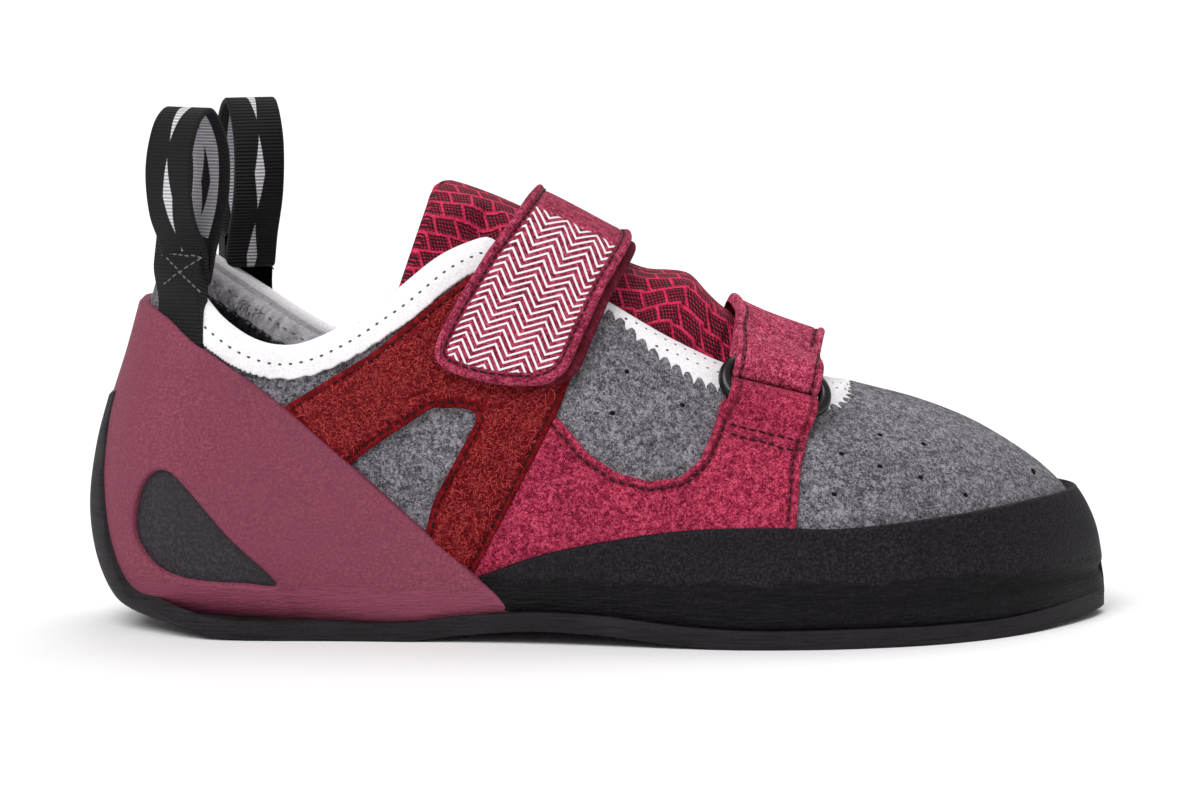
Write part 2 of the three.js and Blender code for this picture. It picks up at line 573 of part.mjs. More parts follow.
// The height of a strap's underside over the last: on the panels at the sides, and arched over the tongue
function strapUnder(row, side, girth) {
  const { run } = girthOf(row, side);
  const inside = (girth - openingGirth(row, side)) * run[run.length - 1];
  const low = side < 0 ? PATCH_WALL + 2 * GAP : PANEL_WALL + 2 * GAP;
  const rise = lookup(STRAP_RISE, sectionAt(row).baseX) * TONGUE_THICKNESS * shoulder(girth);
  const arch = low + (rise - low) * smooth((inside + 0.1 * BALL_WIDTH) / (0.22 * BALL_WIDTH));
  return Math.max(arch, tongueTop(row, side, girth) + GAP);
}

function strapSolid(lateralOutline, medialOutline, thickness) {
  const over = (row, side, girth) => strapUnder(row, side, girth) + thickness;
  return padding(over, strapUnder).intersect(lateralSide(lateralOutline).add(medialSide(medialOutline)));
}

// The heel sling and the toe rand stand on the sole and lap the upper
const sling = grownLast(GAP + RAND_WALL, FIRST_ROW, true)
  .subtract(grownLast(GAP))
  .intersect(bothSides(slingOutline(0)))
  .subtract(bothSides(rounded(SLING_WINDOW, 1.6 * EDGE_STEPS)))
  .subtract(soleRoom)
  .subtract(underfoot)
  .intersect(offFloor);
const slingRoom = grownLast(2 * GAP + RAND_WALL, FIRST_ROW, true).intersect(bothSides(slingOutline(GAP)));
const toeRand = grownLast(GAP + RAND_WALL, FIRST_ROW, true)
  .subtract(grownLast(GAP))
  .intersect(bothSides(toeRandOutline(0)))
  .subtract(slingRoom)
  .subtract(soleRoom)
  .subtract(underfoot)
  .intersect(offFloor);
const toeRandRoom = bothSides(toeRandOutline(GAP));

// The ring: an oval of round wire that lies on the edge of the throat
const ringSeat = { row: 16.46, girth: 0.8 };
const seatNormal = lastNormal(ringSeat.row, -1, ringSeat.girth);
const ringCentre = lastPoint(ringSeat.row, -1, ringSeat.girth)
  .addScaledVector(seatNormal, PANEL_WALL + RING_WIRE);
const ringNormal = seatNormal.clone().add(new THREE.Vector3(0, -0.5, 0)).normalize();
const ringAlong = new THREE.Vector3(1, 0, -0.2).projectOnPlane(ringNormal).normalize();
const ringAcross = ringNormal.clone().cross(ringAlong);
const onRing = (along, across) => ringCentre.clone()
  .addScaledVector(ringAlong, along)
  .addScaledVector(ringAcross, across);

function ringSolid(grow) {
  const end = (RING_WIDTH - RING_WIRE) / 2;
  const straight = (RING_LENGTH - RING_WIDTH) / 2;
  const points = [];
  [1, -1].forEach((way) => {
    for (let i = 0; i <= 6; i++) {
      const angle = way * Math.PI / 2 - (i / 6) * Math.PI;
      points.push(onRing(way * straight + end * Math.cos(angle), end * Math.sin(angle)));
    }
  });
  const curve = new THREE.CatmullRomCurve3(points, true);
  return solidOf(new THREE.TubeGeometry(curve, 18, RING_WIRE / 2 + grow, 7, true));
}

// A fold of strap round one of the ring's long bars. extra lengthens its back end
function fold(across, wall, extra = 0) {
  const back = onRing(-0.37 * RING_LENGTH - extra, across);
  const path = new THREE.LineCurve3(back, onRing(0.4 * RING_LENGTH, across));
  return sweep(path, circle(RING_WIRE / 2 + GAP + wall, 9), 1);
}

const ringBar = (RING_WIDTH - RING_WIRE) / 2;
const ring = ringSolid(0);
const ringRoom = ringSolid(GAP);

const patchPrism = (grow) => lateralSide(LOOP_PATCH.map(([x, z]) => [
  x + (x > 0.36 ? grow : -grow) / LAST_LENGTH, z + (z > 0.6 ? grow : 0) / INSTEP_HEIGHT]));
const loopPatch = shell(GAP, GAP + PATCH_WALL)
  .intersect(patchPrism(0))
  .subtract(lateralSide(rounded(PATCH_HOLE, EDGE_STEPS)))
  .subtract(slingRoom)
  .subtract(toeRandRoom)
  .subtract(openingCutter(-2 * GAP));
const sidePanel = shell(GAP, GAP + PANEL_WALL)
  .intersect(lateralSide(SIDE_PANEL))
  .subtract(patchPrism(GAP))
  .subtract(toeRandRoom)
  .add(fold(-ringBar, PANEL_WALL).subtract(grownLast(GAP)))
  .subtract(ringRoom);
const medialPanel = shell(GAP, GAP + PANEL_WALL)
  .intersect(medialSide(MEDIAL_PANEL))
  .subtract(slingRoom)
  .subtract(toeRandRoom);
const ankleStrap = strapSolid(ANKLE_STRAP, ANKLE_STRAP_MEDIAL, STRAP_THICKNESS + PANEL_WALL);
const frontStrap = strapSolid(FRONT_STRAP, FRONT_STRAP_MEDIAL, STRAP_THICKNESS)
  .add(fold(ringBar, PANEL_WALL))
  .subtract(fold(-ringBar, PANEL_WALL + GAP, 2 * GAP))
  .subtract(ringRoom);

const binding = bindingWrap(0)
  .subtract(upperRoom)
  .subtract(slingRoom)
  .subtract(patchPrism(GAP));

// A heel pull loop: a base stitched to the upper, and a webbing loop that stands on it
function pullLoop(base, { x, y, z, spin }) {
  const foot = new THREE.Vector3(sideX(x), y * BALL_WIDTH, sideZ(z));
  const inward = new THREE.Vector3(Math.cos(spin), Math.sin(spin), 0);
  const wide = new THREE.Vector3(-Math.sin(spin), Math.cos(spin), 0);
  const at = (depth, height) => foot.clone()
    .addScaledVector(inward, depth * WEBBING_WIDTH)
    .addScaledVector(new THREE.Vector3(0, 0, 1), height * WEBBING_WIDTH);
  const curve = new THREE.CatmullRomCurve3(PULL_LOOP.map(([depth, height]) => at(depth, height)), true);
  const middle = curve.getPoints(20).slice(0, -1);
  const rings = middle.map((point, i) => {
    const before = middle[(i + middle.length - 1) % middle.length];
    const along = middle[(i + 1) % middle.length].clone().sub(before);
    const out = along.cross(wide).normalize().multiplyScalar(WEBBING_THICKNESS / 2);
    const half = wide.clone().multiplyScalar(WEBBING_WIDTH / 2);
    return [
      point.clone().add(out).add(half), point.clone().sub(out).add(half),
      point.clone().sub(out).sub(half), point.clone().add(out).sub(half),
    ];
  });
  return loftRings([...rings, rings[0]], false).add(base).subtract(upperRoom).subtract(bindingRoom);
}

const loopBase = (outline, side) => shell(GAP, 3 * GAP + BINDING_WALL + 2 * WEBBING_THICKNESS)
  .intersect(side < 0 ? lateralSide(outline) : medialSide(outline))
  .subtract(bothSides(slingOutline(GAP)));

const group = new THREE.Group();

function add(name, solid, color, roughness = 0.9) {
  const largest = solid.decompose().sort((a, b) => b.volume() - a.volume())[0];
  const mesh = largest.getMesh();
  const geometry = new THREE.BufferGeometry();
  const positions = new Float32Array(mesh.numVert * 3);
  for (let i = 0; i < mesh.numVert; i++) {
    positions.set(mesh.vertProperties.subarray(i * mesh.numProp, i * mesh.numProp + 3), i * 3);
  }
  geometry.setAttribute("position", new THREE.BufferAttribute(positions, 3));
  geometry.setIndex(new THREE.BufferAttribute(mesh.triVerts, 1));
  const piece = new THREE.Mesh(geometry, new THREE.MeshStandardMaterial({ color, roughness, metalness: 0 }));
  piece.name = name;
  group.add(piece);
  return piece;
}

add("outsole", outsole(), 0x232326);
add("upper", upper, 0x5b5a60);
add("insole", insole, 0x9a9a9e);
add("tongue", tongue, 0xa3163a);
add("heel_sling", sling, 0x7c3a50);
add("toe_rand", toeRand, 0x232326);
add("loop_patch", loopPatch, 0x7a2024);
add("side_panel", sidePanel, 0x8f2a45);
add("medial_panel", medialPanel, 0x8f2a45);
add("collar_binding", binding, 0xe8e6e8);
add("ankle_strap", ankleStrap, 0x8c3350);
add("forefoot_strap", frontStrap, 0x8c3350);
add("ring", ring, 0x101012, 0.3);
add("pull_loop_lateral", pullLoop(loopBase(BASE_LATERAL, -1), LOOP_LATERAL), 0x151517);
add("pull_loop_medial", pullLoop(loopBase(BASE_MEDIAL, 1), LOOP_MEDIAL), 0x151517);

const box = new THREE.Box3().setFromObject(group);
const shift = new THREE.Vector3(-(box.min.x + box.max.x) / 2, -(box.min.y + box.max.y) / 2, -box.min.z);
group.children.forEach((piece) => piece.geometry.translate(shift.x, shift.y, shift.z));

export default group;
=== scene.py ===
"""Looks of a low-cut climbing shoe for the right foot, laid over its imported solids.

Tables give lengths as shares of the last's length, ball width and instep height, as the part does. Other
sizes are millimetres. +X points to the toe, +Y to the inner side of the foot and +Z up.
"""

import logging
import math
from dataclasses import dataclass, field
from enum import Enum, IntEnum
from typing import Iterable, Sequence

import bpy
import numpy as np
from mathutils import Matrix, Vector


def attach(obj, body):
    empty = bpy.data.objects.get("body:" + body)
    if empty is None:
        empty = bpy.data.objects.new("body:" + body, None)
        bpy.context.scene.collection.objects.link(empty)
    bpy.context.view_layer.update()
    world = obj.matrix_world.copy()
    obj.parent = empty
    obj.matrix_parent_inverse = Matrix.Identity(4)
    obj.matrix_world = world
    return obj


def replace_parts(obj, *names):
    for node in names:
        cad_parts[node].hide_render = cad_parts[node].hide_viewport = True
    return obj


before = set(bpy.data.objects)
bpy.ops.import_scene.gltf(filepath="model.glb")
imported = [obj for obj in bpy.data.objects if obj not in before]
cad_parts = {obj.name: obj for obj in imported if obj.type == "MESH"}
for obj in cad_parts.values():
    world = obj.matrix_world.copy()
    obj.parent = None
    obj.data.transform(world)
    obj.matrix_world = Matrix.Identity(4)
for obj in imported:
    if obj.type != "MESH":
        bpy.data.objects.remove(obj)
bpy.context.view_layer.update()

LOG = logging.getLogger("climbing_shoe")
Table = Sequence[Sequence[float]]

# Driving sizes, as in the part
LAST_LENGTH = 239.0
BALL_WIDTH = 82.0
INSTEP_HEIGHT = 105.0
LAST_BOTTOM = 4.8
GAP = 0.3
UPPER_WALL = 2.0
PANEL_TOP = 1.5
PATCH_TOP = 2.1
RAND_TOP = 2.3
BINDING_TOP = 1.6
TONGUE_THICKNESS = 4.0
SOLE_THICKNESS = 4.5
HEEL_WRAP_THICKNESS = 3.0
WEBBING_WIDTH = 12.5
WEBBING_THICKNESS = 1.4
RING_WIRE = 3.2
RING_LENGTH = 27.5
RING_WIDTH = 14.0

# Where the part's frame lies in the last's own frame
PART_SHIFT = np.array([0.617, 1.134, 0.0])


class Column(IntEnum):
    """The columns of SECTIONS."""

    BASE_X = 0
    BASE_Z = 1
    TOP_X = 2
    TOP_Z = 3
    LATERAL = 4
    MEDIAL = 5
    RIDGE = 6
    WIDEST = 7
    FLAT = 8
    CROWN = 9


# Sections of the last from heel top to toe tip, by Column
SECTIONS = (
    (0.071, 0.878, 0.3, 1.0, 0.26, 0.26, 0, 0.48, 0.2, 2.5),
    (0.063, 0.83, 0.3, 1.0, 0.27, 0.27, 0, 0.47, 0.2, 2.5),
    (0.048, 0.716, 0.3, 1.0, 0.293, 0.293, 0, 0.45, 0.2, 2.5),
    (0.032, 0.583, 0.3, 1.0, 0.323, 0.317, 0, 0.42, 0.22, 2.6),
    (0.009, 0.411, 0.3, 1.0, 0.348, 0.335, 0, 0.38, 0.24, 2.6),
    (0, 0.259, 0.3, 1.0, 0.354, 0.341, 0, 0.34, 0.26, 2.6),
    (0.01, 0.126, 0.3, 1.0, 0.36, 0.345, 0, 0.29, 0.32, 2.6),
    (0.036, 0.042, 0.3, 1.0, 0.36, 0.348, 0, 0.23, 0.42, 2.6),
    (0.082, 0.012, 0.3, 1.0, 0.362, 0.348, 0, 0.19, 0.55, 2.6),
    (0.145, 0.001, 0.3, 1.0, 0.363, 0.348, 0, 0.17, 0.64, 2.6),
    (0.221, 0, 0.3, 1.0, 0.366, 0.341, 0, 0.17, 0.66, 2.6),
    (0.3, 0, 0.3, 1.0, 0.378, 0.335, 0, 0.18, 0.66, 2.5),
    (0.363, 0.018, 0.363, 0.954, 0.396, 0.335, 0, 0.2, 0.64, 2.3),
    (0.431, 0.03, 0.431, 0.873, 0.427, 0.348, 0, 0.22, 0.66, 2.2),
    (0.498, 0.026, 0.498, 0.773, 0.463, 0.378, 0.012, 0.24, 0.7, 2.1),
    (0.565, 0.01, 0.565, 0.673, 0.494, 0.433, 0.024, 0.24, 0.75, 1.85),
    (0.632, 0, 0.632, 0.588, 0.516, 0.47, 0.037, 0.24, 0.8, 1.7),
    (0.7, 0, 0.7, 0.53, 0.512, 0.488, 0.06, 0.24, 0.82, 1.75),
    (0.758, 0, 0.758, 0.493, 0.485, 0.488, 0.098, 0.24, 0.83, 1.85),
    (0.817, 0, 0.817, 0.455, 0.433, 0.47, 0.134, 0.24, 0.83, 1.9),
    (0.872, 0, 0.872, 0.405, 0.348, 0.435, 0.158, 0.25, 0.83, 1.95),
    (0.918, 0, 0.918, 0.345, 0.238, 0.382, 0.158, 0.26, 0.82, 2.0),
    (0.952, 0.001, 0.952, 0.288, 0.126, 0.323, 0.152, 0.28, 0.8, 2.1),
    (0.977, 0.003, 0.977, 0.226, 0.024, 0.26, 0.14, 0.3, 0.75, 2.2),
    (0.9925, 0.01, 0.9925, 0.154, -0.055, 0.201, 0.128, 0.34, 0.6, 2.2),
    (1.0, 0.04, 1.0, 0.069, -0.122, 0.134, 0.128, 0.45, 0.4, 2.0),
)

# Side view outlines
COLLAR_LATERAL = (
    (-0.05, 0.835), (0.06, 0.825), (0.078, 0.785), (0.097, 0.728), (0.122, 0.671), (0.155, 0.621),
    (0.193, 0.606), (0.237, 0.642), (0.292, 0.722), (0.341, 0.808), (0.387, 0.85), (0.43, 0.87),
)
COLLAR_MEDIAL = (
    (-0.05, 0.835), (0.06, 0.825), (0.085, 0.795), (0.122, 0.735), (0.155, 0.683), (0.193, 0.628),
    (0.225, 0.594), (0.25, 0.615), (0.292, 0.695), (0.341, 0.795), (0.387, 0.85), (0.43, 0.87),
)
TOE_RAND_TOP = (
    (0.371, 0.09), (0.381, 0.102), (0.431, 0.15), (0.489, 0.185), (0.548, 0.211), (0.607, 0.225),
    (0.675, 0.227), (0.734, 0.224), (0.835, 0.24), (0.919, 0.254), (0.97, 0.257), (1.06, 0.262),
)
SLING_TOP = (
    (-0.06, 0.72), (0.046, 0.697), (0.099, 0.622), (0.185, 0.482), (0.312, 0.227), (0.371, 0.107),
    (0.415, 0.01), (0.425, -0.1),
)
SLING_WINDOW = (
    (0.033, 0.2), (0.037, 0.272), (0.048, 0.322), (0.064, 0.339), (0.083, 0.312), (0.129, 0.189),
    (0.176, 0.078), (0.143, 0.074), (0.092, 0.08), (0.06, 0.105), (0.041, 0.15),
)
SLING_CREASE = (
    (0.16, 0.12), (0.182, 0.058), (0.21, -0.04),
)
LOOP_PATCH = (
    (0.18, 0.474), (0.27, 0.6), (0.335, 0.72), (0.384, 0.8), (0.505, 0.76), (0.484, 0.646), (0.451, 0.464),
    (0.409, 0.275), (0.373, 0.115), (0.36, 0.08),
)
PATCH_HOLE = (
    (0.235, 0.301), (0.318, 0.463), (0.344, 0.481), (0.366, 0.479), (0.374, 0.462), (0.366, 0.42), (0.333, 0.278),
    (0.31, 0.165),
)
SIDE_PANEL = (
    (0.44, 0.5), (0.457, 0.456), (0.484, 0.385), (0.511, 0.345), (0.543, 0.326), (0.574, 0.336), (0.594, 0.373),
    (0.606, 0.427), (0.618, 0.5), (0.702, 0.455), (0.702, 0.421), (0.693, 0.358), (0.681, 0.1), (0.37, 0),
)
ANKLE_STRAP = (
    (0.468, 1.05), (0.425, 0.944), (0.386, 0.833), (0.357, 0.729), (0.337, 0.64), (0.335, 0.595), (0.352, 0.564),
    (0.394, 0.541), (0.438, 0.541), (0.462, 0.572), (0.478, 0.642), (0.502, 0.749), (0.534, 0.858),
    (0.553, 0.96),
)
ANKLE_STRAP_MEDIAL = (
    (0.484, 1.1), (0.424, 0.93), (0.374, 0.75), (0.362, 0.55), (0.364, 0.38), (0.47, 0.38), (0.478, 0.6),
    (0.512, 0.78), (0.553, 0.96), (0.558, 1.1),
)
FRONT_STRAP = (
    (0.65, 0.82), (0.636, 0.69), (0.628, 0.6), (0.625, 0.541), (0.704, 0.49), (0.712, 0.53), (0.719, 0.596),
    (0.724, 0.66), (0.735, 0.75),
)
FRONT_STRAP_MEDIAL = (
    (0.64, 0.82), (0.618, 0.6), (0.604, 0.45), (0.6, 0.33), (0.7, 0.33), (0.708, 0.45), (0.722, 0.6),
    (0.74, 0.75),
)
MEDIAL_PANEL = (
    (0.34, 0.5), (0.49, 0.5), (0.545, 0.41), (0.6, 0.46), (0.72, 0.42), (0.735, 0.3), (0.735, 0.05),
    (0.3, 0.05), (0.3, 0.3),
)
TONGUE_SIDE = (
    (0.287, 0.68), (0.325, 0.93), (0.329, 0.96), (0.338, 0.976), (0.355, 0.986), (0.38, 1.01), (0.42, 1.08),
    (0.6, 0.95), (0.8, 0.75), (0.785, 0.41), (0.63, 0.46),
    (0.5, 0.6), (0.43, 0.7), (0.37, 0.73), (0.33, 0.7),
)
BASE_LATERAL = (
    (0.06, 0.5), (0.057, 0.7), (0.06, 0.8), (0.062, 0.86), (0.11, 0.86), (0.108, 0.7), (0.11, 0.5),
)
BASE_MEDIAL = (
    (0.11, 0.5), (0.108, 0.7), (0.11, 0.84), (0.162, 0.84), (0.162, 0.7), (0.164, 0.5),
)

# Half width of the throat, and of the sole's strip up the heel by row, as shares of the ball width
THROAT = (
    (0.375, 0.2), (0.39, 0.218), (0.43, 0.225), (0.5, 0.22), (0.565, 0.2), (0.632, 0.17), (0.69, 0.125),
    (0.73, 0.07), (0.748, 0.003),
)
WRAP_HALF_WIDTH = (
    (3.4, 0.165), (4, 0.205), (5, 0.235), (6, 0.245), (7, 0.25), (8, 0.33),
)

# Height of the tongue and of the straps' undersides over the last, as shares of the tongue's thickness
TONGUE_RISE = (
    (0.3, -0.25), (0.354, 0), (0.42, 0.38), (0.46, 0.55), (0.5, 0.75), (0.532, 1.25), (0.548, 2.0), (0.565, 2.5), (0.583, 2.05),
    (0.599, 1.75), (0.615, 1.6), (0.632, 1.3), (0.68, 1.2), (0.71, 0.8), (0.735, 0.13), (0.75, -0.5),
)
STRAP_RISE = (
    (0.4, 1.05), (0.43, 1.15), (0.49, 1.55), (0.54, 2.05), (0.62, 2.1), (0.72, 2.05),
)

# Path of a pull loop as shares of the webbing's width, and where each loop stands
PULL_LOOP = (
    (0, 0), (-0.12, 0.6), (-0.5, 1.3), (-0.6, 2.2), (-0.3, 3.0), (0.2, 3.2), (0.65, 2.5), (0.62, 1.5),
    (0.22, 0.6),
)
LOOP_LATERAL = {"x": 0.0887, "y": -0.244, "z": 0.754, "spin": 1.05}
LOOP_MEDIAL = {"x": 0.136, "y": 0.2866, "z": 0.754, "spin": -1.2}

# Pinholes in the suede, and soft troughs in it: side view ends, half width and depth in mm
PINHOLES = ((0.521, 0.56), (0.507, 0.474), (0.575, 0.482), (0.733, 0.374), (0.725, 0.29), (0.773, 0.406),
            (0.817, 0.379), (0.77, 0.346), (0.812, 0.319), (0.855, 0.274), (0.931, 0.298))
SUEDE_THROAT = ((0.365, 0.235), (0.43, 0.25), (0.509, 0.255), (0.544, 0.28), (0.586, 0.293), (0.625, 0.283),
                (0.68, 0.262), (0.726, 0.243), (0.744, 0.179), (0.751, 0.079), (0.753, 0.003))
TROUGHS = ((0.74, 0.44, 0.765, 0.3, 3.2, 0.35), (0.79, 0.43, 0.83, 0.31, 4.0, 0.3),
           (0.585, 0.52, 0.6, 0.4, 2.6, 0.3), (0.5, 0.58, 0.545, 0.4, 5.0, 0.3),
           (0.13, 0.6, 0.2, 0.5, 3.5, 0.35), (0.87, 0.37, 0.93, 0.29, 5.0, 0.25))


class Side(Enum):
    """The two sides of the shoe, by the sign of y."""

    LATERAL = -1
    MEDIAL = 1


def side_x(share: np.ndarray | float) -> np.ndarray | float:
    """Length share to mm along the shoe."""
    return (share - 0.5) * LAST_LENGTH


def side_z(share: np.ndarray | float) -> np.ndarray | float:
    """Height share to mm above the floor."""
    return LAST_BOTTOM + share * INSTEP_HEIGHT


def smooth(value: np.ndarray | float) -> np.ndarray | float:
    """Eased step from 0 to 1."""
    t = np.clip(value, 0.0, 1.0)
    return t * t * (3 - 2 * t)


def unit(vectors: np.ndarray) -> np.ndarray:
    """Vectors scaled to length 1."""
    return vectors / np.maximum(np.linalg.norm(vectors, axis=-1, keepdims=True), 1e-9)


def soft_lookup(table: Table, keys: np.ndarray, spread: float) -> np.ndarray:
    """Reads a table of [key, value] rows with its corners softened.

    Args:
        table: Rows of a key and its value.
        keys: Where to read it.
        spread: How far either side of a key is averaged.

    Returns:
        The values at the keys.
    """
    rows = np.array(table)
    offsets = np.linspace(-1, 1, 9)
    weights = np.exp(-2 * offsets**2)
    total = sum(w * np.interp(keys + o * spread, rows[:, 0], rows[:, 1]) for o, w in zip(offsets, weights))
    return total / weights.sum()


def curve(points: Table, closed: bool, steps: int = 8) -> np.ndarray:
    """A Catmull-Rom curve through points.

    Args:
        points: The points, in any number of dimensions.
        closed: Whether the last point joins the first.
        steps: Samples for each span.

    Returns:
        The sampled points.
    """
    p = np.array(points, float)
    spans = len(p) if closed else len(p) - 1

    def at(i: int) -> np.ndarray:
        """The point before or after an end, wrapped or held."""
        return p[i % len(p)] if closed else p[min(max(i, 0), len(p) - 1)]

    made = []
    for i in range(spans):
        a, b, c, d = at(i - 1), at(i), at(i + 1), at(i + 2)
        for k in range(steps):
            t = k / steps
            made.append(0.5 * (2 * b + (c - a) * t + (2 * a - 5 * b + 4 * c - d) * t**2
                               + (3 * b - a - 3 * c + d) * t**3))
    if not closed:
        made.append(p[-1])
    return np.array(made)


def signed_distance(x: np.ndarray, z: np.ndarray, polygon: np.ndarray) -> np.ndarray:
    """Distance to a closed polygon, positive inside it."""
    best = np.full(x.shape, 1e9)
    inside = np.zeros(x.shape, bool)
    for (ax, az), (bx, bz) in zip(polygon, np.roll(polygon, -1, axis=0)):
        dx, dz = bx - ax, bz - az
        if dx == 0 and dz == 0:
            continue
        t = np.clip(((x - ax) * dx + (z - az) * dz) / (dx * dx + dz * dz), 0, 1)
        best = np.minimum(best, (x - ax - t * dx) ** 2 + (z - az - t * dz) ** 2)
        if dz != 0:
            inside ^= ((az > z) != (bz > z)) & (x < dx * (z - az) / dz + ax)
    return np.where(inside, 1, -1) * np.sqrt(best)


@dataclass(frozen=True)
class Outline:
    """A closed shape in the side view, in shares of the length and the height.

    curved rounds all of it, and lid closes an open curved line with more points.
    """

    points: Table
    curved: bool = False
    lid: Table = ()

    def polygon(self) -> np.ndarray:
        """The outline's corners in mm."""
        if self.lid:
            shares = np.vstack([curve(self.points, False), np.array(self.lid)])
        elif self.curved:
            shares = curve(self.points, True)
        else:
            shares = np.array(self.points)
        return np.stack([side_x(shares[:, 0]), side_z(shares[:, 1])], axis=1)

    def depth(self, points: np.ndarray) -> np.ndarray:
        """How far inside the outline points lie, in mm of the side view."""
        return signed_distance(points[..., 0], points[..., 2], self.polygon())


@dataclass(frozen=True)
class Grid:
    """A patch of the last: rows run along the foot and turns round it, 0 at the base and 1 at the ridge."""

    rows: np.ndarray
    turns: np.ndarray
    points: np.ndarray
    normals: np.ndarray
    wraps: bool

    def raised(self, height: np.ndarray | float) -> np.ndarray:
        """The grid's points moved out from the last by a height in mm."""
        return self.points + self.normals * np.broadcast_to(height, self.points.shape[:2])[..., None]

    def sample(self, values: np.ndarray, spots: np.ndarray) -> np.ndarray:
        """Values of the grid between its points.

        Args:
            values: One value or vector for each grid point.
            spots: Fractional row and turn indices.

        Returns:
            The values at the spots.
        """
        n, m = values.shape[:2]
        i = np.clip(np.floor(spots[:, 0]).astype(int), 0, n - 2)
        j = np.floor(spots[:, 1]).astype(int)
        if not self.wraps:
            j = np.clip(j, 0, m - 2)
        s, t = spots[:, 0] - i, spots[:, 1] - j
        j, after = j % m, (j + 1) % m
        if values.ndim == 3:
            s, t = s[:, None], t[:, None]
        near = values[i, j] * (1 - t) + values[i, after] * t
        far = values[i + 1, j] * (1 - t) + values[i + 1, after] * t
        return near * (1 - s) + far * s

    def across(self) -> np.ndarray:
        """The length round each row from the ridge, in mm, negative on the lateral side."""
        steps = np.linalg.norm(np.diff(self.points, axis=1), axis=2)
        run = np.concatenate([np.zeros((len(self.rows), 1)), np.cumsum(steps, axis=1)], axis=1)
        middle = int(np.argmin(np.abs(self.turns - 1)))
        return run - run[:, middle: middle + 1]

    def unrolled(self, surface: np.ndarray) -> np.ndarray:
        """Flat places in mm: along the shoe, and round it from the ridge."""
        return np.stack([surface[..., 0], Grid(self.rows, self.turns, surface, self.normals, False).across()], axis=2)

    def nearest(self, surface: np.ndarray, side: Side, x: float, z: float) -> tuple[int, int]:
        """The grid point of one side that shows at a place in the side view."""
        gap = (surface[..., 0] - x) ** 2 + (surface[..., 2] - z) ** 2
        other = surface[..., 1] * side.value < 0
        return np.unravel_index(int(np.argmin(gap + 1e6 * other)), gap.shape)


